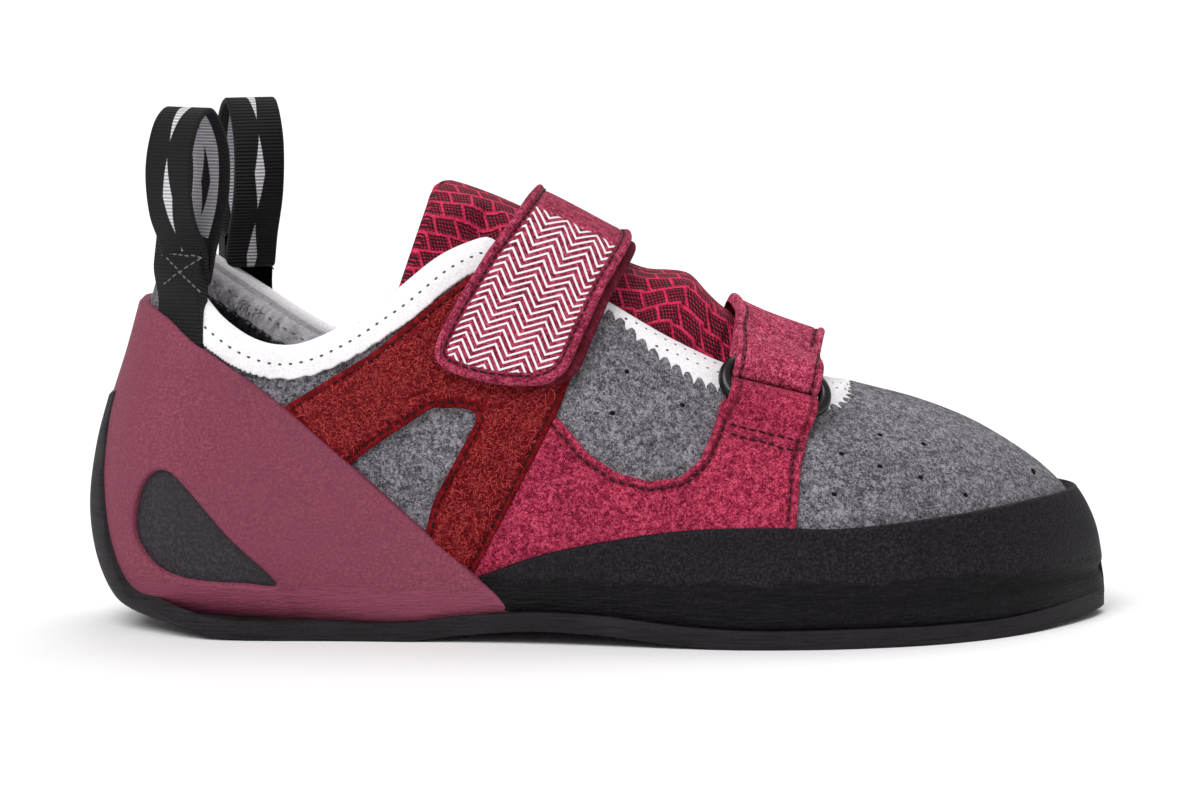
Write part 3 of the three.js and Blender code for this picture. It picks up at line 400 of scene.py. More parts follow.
class Last:
    """The foot form that every piece is laid on, worked out from SECTIONS."""

    PROFILE_STEPS = 96

    def sections(self, rows: np.ndarray, square: bool = False) -> np.ndarray:
        """Sections at fractional rows.

        Args:
            rows: The rows to read.
            square: Whether the low sides stand upright, as the rubber does on the sole.

        Returns:
            One line of section values for each row.
        """
        table = np.array(SECTIONS)
        end = len(table) - 1
        i = np.clip(np.floor(rows).astype(int), 0, end - 1)
        t = (rows - i)[:, None]
        a, b, c, d = (table[np.clip(i + k, 0, end)] for k in (-1, 0, 1, 2))
        made = 0.5 * (2 * b + (c - a) * t + (2 * a - 5 * b + 4 * c - d) * t**2 + (3 * b - a - 3 * c + d) * t**3)
        if square:
            share = smooth((rows - 8.5) / 3)
            made[:, Column.FLAT] += (0.94 - made[:, Column.FLAT]) * share
            made[:, Column.WIDEST] += (0.12 - made[:, Column.WIDEST]) * share
            made[:, Column.BASE_Z] *= 1 - share * smooth((made[:, Column.BASE_X] - 0.9) / 0.08)
        return made

    def profile(self, sections: np.ndarray, side: Side) -> tuple[np.ndarray, np.ndarray]:
        """One side of each section from the middle of its base to its ridge: height share, and y in mm."""
        column = {c: sections[:, c: c + 1] for c in Column}
        centre = (column[Column.MEDIAL] - column[Column.LATERAL]) / 2 * BALL_WIDTH
        half = (column[Column.MEDIAL] + column[Column.LATERAL]) / 2 * BALL_WIDTH
        ridge = column[Column.RIDGE] * BALL_WIDTH
        flat = half * column[Column.FLAT]
        angle = np.linspace(0, math.pi / 2, self.PROFILE_STEPS)[None, :]
        low = column[Column.WIDEST] * (1 - np.cos(angle))
        low_y = centre + side.value * (flat + (half - flat) * np.sin(angle))
        power = 2 / column[Column.CROWN]
        high = column[Column.WIDEST] + (1 - column[Column.WIDEST]) * np.sin(angle) ** power
        high_y = ridge + (centre + side.value * half - ridge) * np.maximum(np.cos(angle), 0) ** power
        share = np.concatenate([np.zeros_like(centre), low, high[:, 1:]], axis=1)
        return share, np.concatenate([centre, low_y, high_y[:, 1:]], axis=1)

    def grid(self, rows: np.ndarray, turns: np.ndarray, square: bool = False) -> Grid:
        """Lays a grid of rows and turns on the last.

        Args:
            rows: Section rows along the foot.
            turns: Turns round it, from 0 to 2. A full circle leaves 2 out.
            square: Whether the low sides stand upright.

        Returns:
            The grid with its points and outward normals.
        """
        wraps = turns[0] == 0 and turns[-1] < 2 < turns[-1] + 2 * (turns[-1] - turns[-2])
        padded = np.concatenate([[turns[-1] - 2], turns, [2.0]]) if wraps else turns
        sections = self.sections(rows, square)
        base = np.stack([side_x(sections[:, Column.BASE_X]), side_z(sections[:, Column.BASE_Z])], axis=1)
        top = np.stack([side_x(sections[:, Column.TOP_X]), side_z(sections[:, Column.TOP_Z])], axis=1)
        height = np.linalg.norm(top - base, axis=1)
        share, y = np.zeros((2, len(rows), len(padded)))
        folded = np.abs(padded)
        for side in Side:
            wanted = folded if side is Side.LATERAL else 2 - folded
            chosen = (folded <= 1) & (padded >= 0) if side is Side.LATERAL else (folded > 1) | (padded < 0)
            wanted = np.where(padded < 0, folded, wanted)[chosen]
            shares, ys = self.profile(sections, side)
            for i in range(len(rows)):
                run = np.cumsum(np.hypot(np.diff(shares[i], prepend=0) * height[i], np.diff(ys[i], prepend=ys[i, 0])))
                share[i, chosen] = np.interp(wanted * run[-1], run, shares[i])
                y[i, chosen] = np.interp(wanted * run[-1], run, ys[i])
        flat = base[:, None, :] + (top - base)[:, None, :] * share[..., None]
        points = np.stack([flat[..., 0], y, flat[..., 1]], axis=2)
        along = np.gradient(points, rows, axis=0)
        around = np.gradient(points, padded, axis=1)
        normals = unit(np.cross(along, around))
        if wraps:
            points, normals = points[:, 1:-1], normals[:, 1:-1]
        return Grid(rows, turns, points, normals, wraps)


def spaced(*spans: tuple[float, float, float]) -> np.ndarray:
    """Values over joined spans, each a start, an end and a step."""
    parts = [np.arange(start, end - step / 2, step) for start, end, step in spans]
    return np.concatenate([*parts, [spans[-1][1]]])


@dataclass(frozen=True)
class Line:
    """A line on a surface, with the surface's normals along it."""

    points: np.ndarray
    normals: np.ndarray
    closed: bool = False

    def tangents(self) -> np.ndarray:
        """Smoothed directions along the line."""
        p = self.points
        if self.closed:
            made = unit(np.roll(p, -1, axis=0) - np.roll(p, 1, axis=0))
        else:
            made = unit(np.gradient(p, axis=0))
        for _ in range(2):
            if self.closed:
                made = unit(np.roll(made, 1, axis=0) + 2 * made + np.roll(made, -1, axis=0))
            else:
                inner = made[:-2] + 2 * made[1:-1] + made[2:]
                made = unit(np.vstack([made[:1], inner, made[-1:]]))
        return made

    def every(self, pitch: float) -> "Line":
        """The line with points at an even pitch in mm."""
        p, n = self.points, self.normals
        if self.closed:
            p, n = np.vstack([p, p[:1]]), np.vstack([n, n[:1]])
        run = np.concatenate([[0], np.cumsum(np.linalg.norm(np.diff(p, axis=0), axis=1))])
        count = max(2, int(run[-1] / pitch))
        wanted = np.linspace(0, run[-1], count + 1)
        if self.closed:
            wanted = wanted[:-1]
        points = np.stack([np.interp(wanted, run, p[:, k]) for k in range(3)], axis=1)
        normals = unit(np.stack([np.interp(wanted, run, n[:, k]) for k in range(3)], axis=1))
        return Line(points, normals, self.closed)


def march(values: np.ndarray, wraps: bool) -> tuple[np.ndarray, list[list[int]], list[tuple[list[int], bool]]]:
    """Keeps the part of a grid where values are above 0, cut along their zero line.

    Args:
        values: One number for each grid point.
        wraps: Whether the last turn joins the first.

    Returns:
        The corners as fractional indices, the faces, and the cut lines as corner lists with a closed flag.
        The kept part lies to the left of each cut line.
    """
    n, m = values.shape
    i, j = (a.ravel() for a in np.meshgrid(np.arange(n - 1), np.arange(m if wraps else m - 1), indexing="ij"))
    corners = np.stack([i * m + j, (i + 1) * m + j, (i + 1) * m + (j + 1) % m, i * m + (j + 1) % m], axis=1)
    flat = values.ravel()
    count = (flat[corners] > 0).sum(axis=1)
    faces = corners[count == 4].tolist()
    spots = [(k // m, k % m) for k in range(n * m)]
    cuts: dict[tuple[int, int], int] = {}
    following: dict[int, int] = {}
    for cell in np.nonzero((count > 0) & (count < 4))[0]:
        polygon: list[int] = []
        crossings: list[tuple[int, bool]] = []
        for a, b in zip(corners[cell], np.roll(corners[cell], -1)):
            a, b = int(a), int(b)
            if flat[a] > 0:
                polygon.append(a)
            if (flat[a] > 0) != (flat[b] > 0):
                key = (min(a, b), max(a, b))
                if key not in cuts:
                    share = flat[key[0]] / (flat[key[0]] - flat[key[1]])
                    (r0, c0), (r1, c1) = spots[key[0]], spots[key[1]]
                    if wraps and abs(c1 - c0) > 1:
                        c0, c1 = (c0 + m, c1) if c0 < c1 else (c0, c1 + m)
                    cuts[key] = len(spots)
                    spots.append((r0 + (r1 - r0) * share, c0 + (c1 - c0) * share))
                polygon.append(cuts[key])
                crossings.append((cuts[key], flat[a] > 0))
        faces.append(polygon)
        for k, (corner, leaving) in enumerate(crossings):
            if leaving:
                following[corner] = crossings[(k + 1) % len(crossings)][0]
    chains = []
    starts = [k for k in following if k not in set(following.values())]
    while following:
        first = starts.pop() if starts else next(iter(following))
        chain = [first]
        while chain[-1] in following:
            chain.append(following.pop(chain[-1]))
            if chain[-1] == first:
                break
        closed = len(chain) > 3 and chain[-1] == first
        chains.append((chain[:-1] if closed else chain, closed))
    return np.array(spots, float), faces, [c for c in chains if len(c[0]) > 4]


def make_object(name: str, points: np.ndarray, faces: Sequence[Sequence[int]], look: "Look",
                uv: np.ndarray | None = None, values: dict[str, np.ndarray] | None = None) -> bpy.types.Object:
    """Makes a mesh object that rides with the shoe.

    Args:
        name: The piece's name.
        points: Corners in mm, in the last's frame.
        faces: Corner lists.
        look: Its finish.
        uv: Flat places of the corners in mm, for patterns that follow the piece.
        values: Named numbers of the corners that its finish reads.

    Returns:
        The object.
    """
    used, where = np.unique(np.concatenate([np.asarray(f) for f in faces]), return_inverse=True)
    sizes = np.array([len(f) for f in faces])
    ends = np.cumsum(sizes)
    lists = [where[e - s: e].tolist() for s, e in zip(sizes, ends)]
    mesh = bpy.data.meshes.new(name)
    mesh.from_pydata(((points[used] + PART_SHIFT) * 0.001).tolist(), [], lists)
    mesh.polygons.foreach_set("use_smooth", [True] * len(mesh.polygons))
    if uv is not None:
        layer = mesh.uv_layers.new(name="flat")
        corners = np.zeros(len(mesh.loops), np.int32)
        mesh.loops.foreach_get("vertex_index", corners)
        layer.data.foreach_set("uv", (uv[used][corners] * 0.001).astype(np.float32).ravel())
    for key, numbers in (values or {}).items():
        attribute = mesh.attributes.new(key, "FLOAT", "POINT")
        attribute.data.foreach_set("value", numbers[used].astype(np.float32))
    mesh.materials.append(look.material())
    made = bpy.data.objects.new(name, mesh)
    bpy.context.scene.collection.objects.link(made)
    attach(made, "root")
    LOG.info("%s: %d faces", name, len(faces))
    return made


@dataclass(frozen=True)
class EdgeProfile:
    """How a cut edge turns over: steps outwards and down from the top face, in mm."""

    steps: tuple[tuple[float, float], ...]

    @property
    def inset(self) -> float:
        """How far the top face stops short of the outline."""
        return max(out for out, _ in self.steps)


def rounded_edge(radius: float, wall: float, steps: int = 4) -> EdgeProfile:
    """A quarter round and then a wall straight down."""
    angles = [math.pi / 2 * (k + 1) / steps for k in range(steps)]
    turn = [(radius * math.sin(a), radius * (1 - math.cos(a))) for a in angles]
    return EdgeProfile((*turn, (radius, wall)))


@dataclass
class Sheet:
    """A layer laid on the last and cut to an outline, with its edges turned down.

    keep is how far inside the outline each grid point lies, in mm. inward makes it face the foot.
    """

    name: str
    grid: Grid
    height: np.ndarray | float
    keep: np.ndarray
    edge: EdgeProfile
    look: "Look"
    inward: bool = False
    uv: np.ndarray | None = None

    def build(self) -> bpy.types.Object:
        """Cuts the sheet and turns its edges down."""
        sign = -1 if self.inward else 1
        spots, faces, chains = march(self.keep - self.edge.inset, self.grid.wraps)
        points = self.grid.sample(self.grid.raised(self.height), spots)
        normals = unit(self.grid.sample(self.grid.normals, spots)) * sign
        flat = self.uv if self.uv is not None else np.stack([self.grid.points[..., 0], self.grid.across()], axis=2)
        uv = self.grid.sample(flat, spots)
        edge = self.grid.sample(self.keep, spots)
        if self.inward:
            faces = [f[::-1] for f in faces]
        parts = [(points, uv, edge)]
        total = len(points)
        for chain, closed in chains:
            index = np.array(chain)
            line = Line(points[index], normals[index], closed)
            out = unit(np.cross(line.tangents(), line.normals)) * sign
            above = index
            for outwards, down in self.edge.steps:
                ring = line.points + out * outwards - line.normals * down
                below = np.arange(total, total + len(index))
                parts.append((ring, uv[index], edge[index] - outwards))
                total += len(index)
                last = len(index) if closed else len(index) - 1
                for k in range(last):
                    a, b = k, (k + 1) % len(index)
                    quad = [int(above[b]), int(above[a]), int(below[a]), int(below[b])]
                    faces.append(quad[::-1] if self.inward else quad)
                above = below
        joined = [np.concatenate([part[k] for part in parts]) for k in range(3)]
        return make_object(self.name, joined[0], faces, self.look, joined[1], {"edge": joined[2]})

    def lines(self, level: float, where: np.ndarray | None = None, lift: float = 0.0) -> list[Line]:
        """Lines on the sheet at one depth inside its outline.

        Args:
            level: The depth in mm.
            where: Numbers that are above 0 where the line is wanted.
            lift: How far the line stands over the sheet.

        Returns:
            The lines, split where they leave the wanted places.
        """
        spots, _, chains = march(self.keep - level, self.grid.wraps)
        points = self.grid.sample(self.grid.raised(np.asarray(self.height) + lift), spots)
        normals = unit(self.grid.sample(self.grid.normals, spots)) * (-1 if self.inward else 1)
        wanted = np.ones(len(spots)) if where is None else self.grid.sample(where, spots)
        made = []
        for chain, closed in chains:
            index = np.array(chain)
            good = wanted[index] > 0
            if good.all():
                made.append(Line(points[index], normals[index], closed))
                continue
            if closed:
                shift = int(np.argmin(good))
                index, good = np.roll(index, -shift), np.roll(good, -shift)
            runs = np.split(np.arange(len(index)), np.nonzero(np.diff(good.astype(int)))[0] + 1)
            for run in runs:
                if good[run[0]] and len(run) > 6:
                    made.append(Line(points[index[run]], normals[index[run]]))
        return made


@dataclass(frozen=True)
class Stitch:
    """One visible thread of a row: its length, the pitch of the row and the thread's half width, in mm."""

    length: float = 1.9
    pitch: float = 2.5
    radius: float = 0.3
    sink: float = 0.08

    def template(self) -> tuple[np.ndarray, list[list[int]]]:
        """A capsule along x, low and rounded."""
        around, along = 6, 4
        points = [(-self.length / 2, 0.0, 0.0)]
        for i in range(1, along):
            a = math.pi * i / along
            for k in range(around):
                b = 2 * math.pi * k / around
                reach = math.sin(a) ** 0.6
                points.append((-math.cos(a) * self.length / 2, self.radius * reach * math.cos(b),
                               0.8 * self.radius * reach * math.sin(b)))
        points.append((self.length / 2, 0.0, 0.0))
        faces = [[0, 1 + (k + 1) % around, 1 + k] for k in range(around)]
        for i in range(along - 2):
            for k in range(around):
                a, b = 1 + i * around + k, 1 + i * around + (k + 1) % around
                faces.append([a, b, b + around, a + around])
        end, start = len(points) - 1, 1 + (along - 2) * around
        faces += [[end, start + k, start + (k + 1) % around] for k in range(around)]
        return np.array(points), faces

    def sew(self, name: str, lines: Iterable[Line], look: "Look") -> bpy.types.Object | None:
        """Lays the stitches along lines as one joined mesh."""
        shape, faces = self.template()
        points, joined = [], []
        for line in lines:
            even = line.every(self.pitch)
            tangents = even.tangents()
            sides = unit(np.cross(even.normals, tangents))
            ups = unit(np.cross(tangents, sides))
            for p, t, s, u in zip(even.points, tangents, sides, ups):
                start = len(points) * len(shape)
                points.append(p - u * self.sink + shape[:, :1] * t + shape[:, 1:2] * s + shape[:, 2:] * u)
                joined += [[start + k for k in f] for f in faces]
        if not points:
            return None
        return make_object(name, np.concatenate(points), joined, look)


def strip(name: str, line: Line, profile: Table, look: "Look", closed_profile: bool = False) -> bpy.types.Object:
    """Sweeps a profile along a line.

    Args:
        name: The piece's name.
        line: The path. The profile's first number runs to its right and the second along its normals.
        profile: The profile's points in mm.
        look: Its finish.
        closed_profile: Whether the profile's last point joins its first.

    Returns:
        The object.
    """
    tangents = line.tangents()
    right = unit(np.cross(tangents, line.normals))
    ups = unit(np.cross(right, tangents))
    shape = np.array(profile, float)
    rings = line.points[:, None] + shape[None, :, :1] * right[:, None] + shape[None, :, 1:] * ups[:, None]
    count, size = rings.shape[:2]
    faces = []
    for i in range(count if line.closed else count - 1):
        for k in range(size if closed_profile else size - 1):
            a, b = i * size + k, i * size + (k + 1) % size
            c, d = (b + size) % (count * size), (a + size) % (count * size)
            faces.append([a, b, c, d])
    if closed_profile and not line.closed:
        faces += [list(range(size))[::-1], list(range((count - 1) * size, count * size))]
    run = np.concatenate([[0], np.cumsum(np.linalg.norm(np.diff(line.points, axis=0), axis=1))])
    across = np.concatenate([[0], np.cumsum(np.linalg.norm(np.diff(shape, axis=0), axis=1))])
    uv = np.stack(np.meshgrid(run, across, indexing="ij"), axis=2).reshape(-1, 2)
    return make_object(name, rings.reshape(-1, 3), faces, look, uv)


def linear(colour: str) -> tuple[float, float, float, float]:
    """An sRGB hex colour as linear red, green, blue and alpha."""
    parts = [int(colour[k: k + 2], 16) / 255 for k in (1, 3, 5)]
    return (*(c / 12.92 if c <= 0.04045 else ((c + 0.055) / 1.055) ** 2.4 for c in parts), 1.0)


def add_node(tree: bpy.types.NodeTree, kind: str, inputs: dict | None = None, **settings: object) -> bpy.types.Node:
    """Adds a shader node.

    Args:
        tree: The material's node tree.
        kind: The node's type.
        inputs: Values or output sockets for its inputs, by name or number.
        settings: The node's own settings.

    Returns:
        The node.
    """
    node = tree.nodes.new(kind)
    for key, value in settings.items():
        setattr(node, key, value)
    for key, value in (inputs or {}).items():
        if isinstance(value, bpy.types.NodeSocket):
            tree.links.new(value, node.inputs[key])
        else:
            node.inputs[key].default_value = value
    return node


@dataclass(frozen=True)
class Finish:
    """What every finish has: a name, a colour, and how light leaves it."""

    name: str
    colour: str
    roughness: float = 0.85
    ior: float = 1.5
    sheen: float = 0.0
    coat: float = 0.0
    specular: float = 0.5

    def build(self) -> bpy.types.Material:
        """Makes the material."""
        material = bpy.data.materials.new(self.name)
        material.use_nodes = True
        tree = material.node_tree
        shader = tree.nodes["Principled BSDF"]
        shader.inputs["Base Color"].default_value = linear(self.colour)
        shader.inputs["Roughness"].default_value = self.roughness
        shader.inputs["IOR"].default_value = self.ior
        shader.inputs["Specular IOR Level"].default_value = self.specular
        shader.inputs["Sheen Weight"].default_value = self.sheen
        shader.inputs["Sheen Roughness"].default_value = 0.5
        shader.inputs["Coat Weight"].default_value = self.coat
        shader.inputs["Coat Roughness"].default_value = 0.25
        self.dress(tree, shader, add_node(tree, "ShaderNodeTexCoord"))
        return material

    def dress(self, tree: bpy.types.NodeTree, shader: bpy.types.Node, coords: bpy.types.Node) -> None:
        """Adds the finish's own nodes."""

    def noise(self, tree: bpy.types.NodeTree, vector: bpy.types.NodeSocket, size: float, detail: float = 2.0,
              distortion: float = 0.0) -> bpy.types.NodeSocket:
        """Noise with features of a size in mm."""
        made = add_node(tree, "ShaderNodeTexNoise", {"Vector": vector, "Scale": 1000 / size, "Detail": detail,
                                                     "Roughness": 0.6, "Distortion": distortion})
        return made.outputs["Fac"]

    def ramp(self, tree: bpy.types.NodeTree, value: bpy.types.NodeSocket | float, low: float, high: float,
             start: float = 0.0, end: float = 1.0) -> bpy.types.NodeSocket:
        """A value spread from one range to another, clamped."""
        made = add_node(tree, "ShaderNodeMapRange", {"Value": value, "From Min": low, "From Max": high,
                                                     "To Min": start, "To Max": end})
        return made.outputs["Result"]

    def blend(self, tree: bpy.types.NodeTree, share: bpy.types.NodeSocket, first: object,
              second: object, kind: str = "MIX") -> bpy.types.NodeSocket:
        """Two colours mixed by a share."""
        made = add_node(tree, "ShaderNodeMix", {0: share, 6: first, 7: second}, data_type="RGBA", blend_type=kind)
        return made.outputs[2]

    def maths(self, tree: bpy.types.NodeTree, operation: str, *values: object) -> bpy.types.NodeSocket:
        """One step of arithmetic."""
        return add_node(tree, "ShaderNodeMath", dict(enumerate(values)), operation=operation).outputs[0]

    def bump(self, tree: bpy.types.NodeTree, shader: bpy.types.Node, height: bpy.types.NodeSocket, depth: float,
             strength: float = 1.0) -> None:
        """Bumps the surface by a height whose full range is depth in mm."""
        made = add_node(tree, "ShaderNodeBump", {"Height": height, "Distance": depth * 0.001, "Strength": strength})
        tree.links.new(made.outputs["Normal"], shader.inputs["Normal"])


@dataclass(frozen=True)
class Nap(Finish):
    """Suede or microsuede: short fibres that break the colour into light and dark grains.

    seam is how deep inside the piece's edge a sewn groove runs, in mm, or 0 for none. The groove is bumped down and
    darkened with painted shade.
    """

    dark: str = "#000000"
    light: str = "#ffffff"
    grain: float = 0.6
    depth: float = 0.3
    seam: float = 0.0
    rim: str = ""

    def colours(self, tree: bpy.types.NodeTree, coords: bpy.types.Node) -> tuple:
        """The napped colour and the nap's height."""
        place = coords.outputs["Object"]
        fibres = self.noise(tree, place, self.grain, 3.0, 1.2)
        clumps = self.noise(tree, place, self.grain * 3.2, 2.0, 0.6)
        patches = self.noise(tree, place, 14.0, 2.0)
        nap = self.maths(tree, "ADD", self.maths(tree, "MULTIPLY", fibres, 0.7),
                         self.maths(tree, "MULTIPLY", clumps, 0.3))
        colour = self.blend(tree, self.ramp(tree, nap, 0.41, 0.5), linear(self.dark), linear(self.colour))
        colour = self.blend(tree, self.ramp(tree, nap, 0.5, 0.6), colour, linear(self.light))
        shade = self.blend(tree, self.ramp(tree, patches, 0.35, 0.65), (0.86, 0.86, 0.86, 1), (1.08, 1.08, 1.08, 1))
        return self.blend(tree, 1.0, colour, shade, "MULTIPLY"), nap

    def dress(self, tree: bpy.types.NodeTree, shader: bpy.types.Node, coords: bpy.types.Node) -> None:
        """Grains, mottling, and the sewn groove, bumped down and darkened with painted shade."""
        colour, height = self.colours(tree, coords)
        if self.seam:
            edge = add_node(tree, "ShaderNodeAttribute", attribute_name="edge").outputs["Fac"]
            away = self.maths(tree, "ABSOLUTE", self.maths(tree, "SUBTRACT", edge, self.seam))
            # Painted shade: the sewn groove is darkened towards the dark grain colour, by up to 55 %
            groove = self.ramp(tree, away, 0.15, 0.85, 1.0, 0.0)
            colour = self.blend(tree, self.maths(tree, "MULTIPLY", groove, 0.55), colour, linear(self.dark))
            height = self.maths(tree, "SUBTRACT", height, self.maths(tree, "MULTIPLY", groove, 1.6))
        tree.links.new(colour, shader.inputs["Base Color"])
        self.bump(tree, shader, height, self.depth)


@dataclass(frozen=True)
class PrintedNap(Nap):
    """The strap's microsuede with a plain chevron print in white ink on its tab.

    The lines are 0.6 mm wide every 1.9 mm, the scale of a screen print on a strap this wide.
    """

    pitch: float = 1.9
    chevron: float = 8.6
    margin: float = 2.9

    def dress(self, tree: bpy.types.NodeTree, shader: bpy.types.Node, coords: bpy.types.Node) -> None:
        """Nap with the print over it, and the sewn groove darkened with painted shade."""
        colour, height = self.colours(tree, coords)
        edge = add_node(tree, "ShaderNodeAttribute", attribute_name="edge").outputs["Fac"]
        away = self.maths(tree, "ABSOLUTE", self.maths(tree, "SUBTRACT", edge, self.seam))
        # Painted shade: the sewn groove is darkened towards the dark grain colour, by up to 60 %
        groove = self.ramp(tree, away, 0.2, 0.9, 1.0, 0.0)
        colour = self.blend(tree, self.maths(tree, "MULTIPLY", groove, 0.6), colour, linear(self.dark))
        height = self.maths(tree, "SUBTRACT", height, self.maths(tree, "MULTIPLY", groove, 1.6))
        flat = add_node(tree, "ShaderNodeSeparateXYZ", {0: coords.outputs["UV"]})
        along = self.maths(tree, "MULTIPLY", flat.outputs[1], 1000.0)
        across = self.maths(tree, "MULTIPLY", flat.outputs[0], 1000.0)
        zigzag = self.maths(tree, "PINGPONG", across, self.chevron / 2)
        lines = self.maths(tree, "FRACT", self.maths(tree, "DIVIDE", self.maths(
            tree, "ADD", along, self.maths(tree, "MULTIPLY", zigzag, 0.8)), self.pitch))
        ink = self.maths(tree, "MULTIPLY", self.ramp(tree, lines, 0.0, 0.05), self.ramp(tree, lines, 0.36, 0.42, 1, 0))
        ink = self.maths(tree, "MULTIPLY", ink, self.ramp(tree, edge, self.margin, self.margin + 0.15))
        ink = self.maths(tree, "MULTIPLY", ink, self.ramp(tree, along, -12.5, -12.9))
        colour = self.blend(tree, ink, colour, linear("#f1ecef"))
        tree.links.new(colour, shader.inputs["Base Color"])
        self.bump(tree, shader, self.maths(tree, "MAXIMUM", height, self.maths(tree, "MULTIPLY", ink, 0.8)), self.depth)


@dataclass(frozen=True)
class Rubber(Finish):
    """Moulded climbing rubber: matt, with a fine pebbled grain.

    streaks of 1 draws the level scratches of a sanded edge in place of the grain.
    """

    pale: str = "#444444"
    grain: float = 0.7
    depth: float = 0.12
    streaks: float = 0.0
    worn: str = ""
    worn_top: float = 0.0

    def dress(self, tree: bpy.types.NodeTree, shader: bpy.types.Node, coords: bpy.types.Node) -> None:
        """Grain, sanding and a little dust."""
        place = coords.outputs["Object"]
        grain = self.noise(tree, place, self.grain, 3.0)
        cloud = self.noise(tree, place, 22.0, 3.0, 0.4)
        if self.streaks:
            level = add_node(tree, "ShaderNodeMapping", {"Vector": place, "Scale": (0.06, 0.06, 1.6)}).outputs[0]
            scratches = self.noise(tree, level, 0.7, 4.0, 0.3)
            grain = self.maths(tree, "ADD", self.maths(tree, "MULTIPLY", scratches, self.streaks),
                               self.maths(tree, "MULTIPLY", grain, 1 - 0.7 * self.streaks))
        dust = self.maths(tree, "MULTIPLY", self.ramp(tree, grain, 0.42, 0.66), self.ramp(tree, cloud, 0.2, 0.7, 0.3, 1.0))
        colour = self.blend(tree, dust, linear(self.colour), linear(self.pale))
        if self.worn:
            height = add_node(tree, "ShaderNodeSeparateXYZ", {0: place}).outputs[2]
            level = add_node(tree, "ShaderNodeMapping", {"Vector": place, "Scale": (0.1, 0.1, 1.0)}).outputs[0]
            scratches = self.noise(tree, level, 0.55, 4.0, 0.4)
            torn = self.maths(tree, "MULTIPLY_ADD", self.noise(tree, place, 9.0, 4.0, 0.5), -0.007, height)
            sanded = self.ramp(tree, torn, self.worn_top * 0.001 - 0.0032, self.worn_top * 0.001 - 0.004)
            share = self.maths(tree, "MULTIPLY", sanded, self.ramp(tree, scratches, 0.35, 0.62, 0.35, 1.0))
            colour = self.blend(tree, share, colour, linear(self.worn))
            grain = self.maths(tree, "MULTIPLY_ADD", self.maths(tree, "MULTIPLY", scratches, 2.2), sanded, grain)
            grain = self.maths(tree, "SUBTRACT", grain, self.maths(tree, "MULTIPLY", sanded, 1.6))
        tree.links.new(colour, shader.inputs["Base Color"])
        tree.links.new(self.ramp(tree, cloud, 0.3, 0.7, self.roughness - 0.08, self.roughness + 0.1),
                       shader.inputs["Roughness"])
        self.bump(tree, shader, grain, self.depth)


@dataclass(frozen=True)
class Pile(Finish):
    """Brushed loop fastener: a deep dark ground with bright strands over it."""

    dark: str = "#3a0c0e"
    light: str = "#b8473c"

    def dress(self, tree: bpy.types.NodeTree, shader: bpy.types.Node, coords: bpy.types.Node) -> None:
        """Strands in clumps."""
        place = coords.outputs["Object"]
        strands = self.noise(tree, place, 0.7, 4.0, 2.5)
        clumps = self.noise(tree, place, 2.6, 2.0, 1.0)
        tone = self.maths(tree, "ADD", self.maths(tree, "MULTIPLY", strands, 0.65),
                          self.maths(tree, "MULTIPLY", clumps, 0.35))
        colour = self.blend(tree, self.ramp(tree, tone, 0.36, 0.52), linear(self.dark), linear(self.colour))
        colour = self.blend(tree, self.ramp(tree, tone, 0.52, 0.68), colour, linear(self.light))
        tree.links.new(colour, shader.inputs["Base Color"])
        self.bump(tree, shader, tone, 0.7)


@dataclass(frozen=True)
class Strand(Finish):
    """Loose fibres, each a little lighter or darker than the next."""

    light: str = "#d0574a"

    def dress(self, tree: bpy.types.NodeTree, shader: bpy.types.Node, coords: bpy.types.Node) -> None:
        """A tint for each fibre."""
        tint = add_node(tree, "ShaderNodeAttribute", attribute_name="tint").outputs["Fac"]
        tree.links.new(self.blend(tree, tint, linear(self.colour), linear(self.light)), shader.inputs["Base Color"])


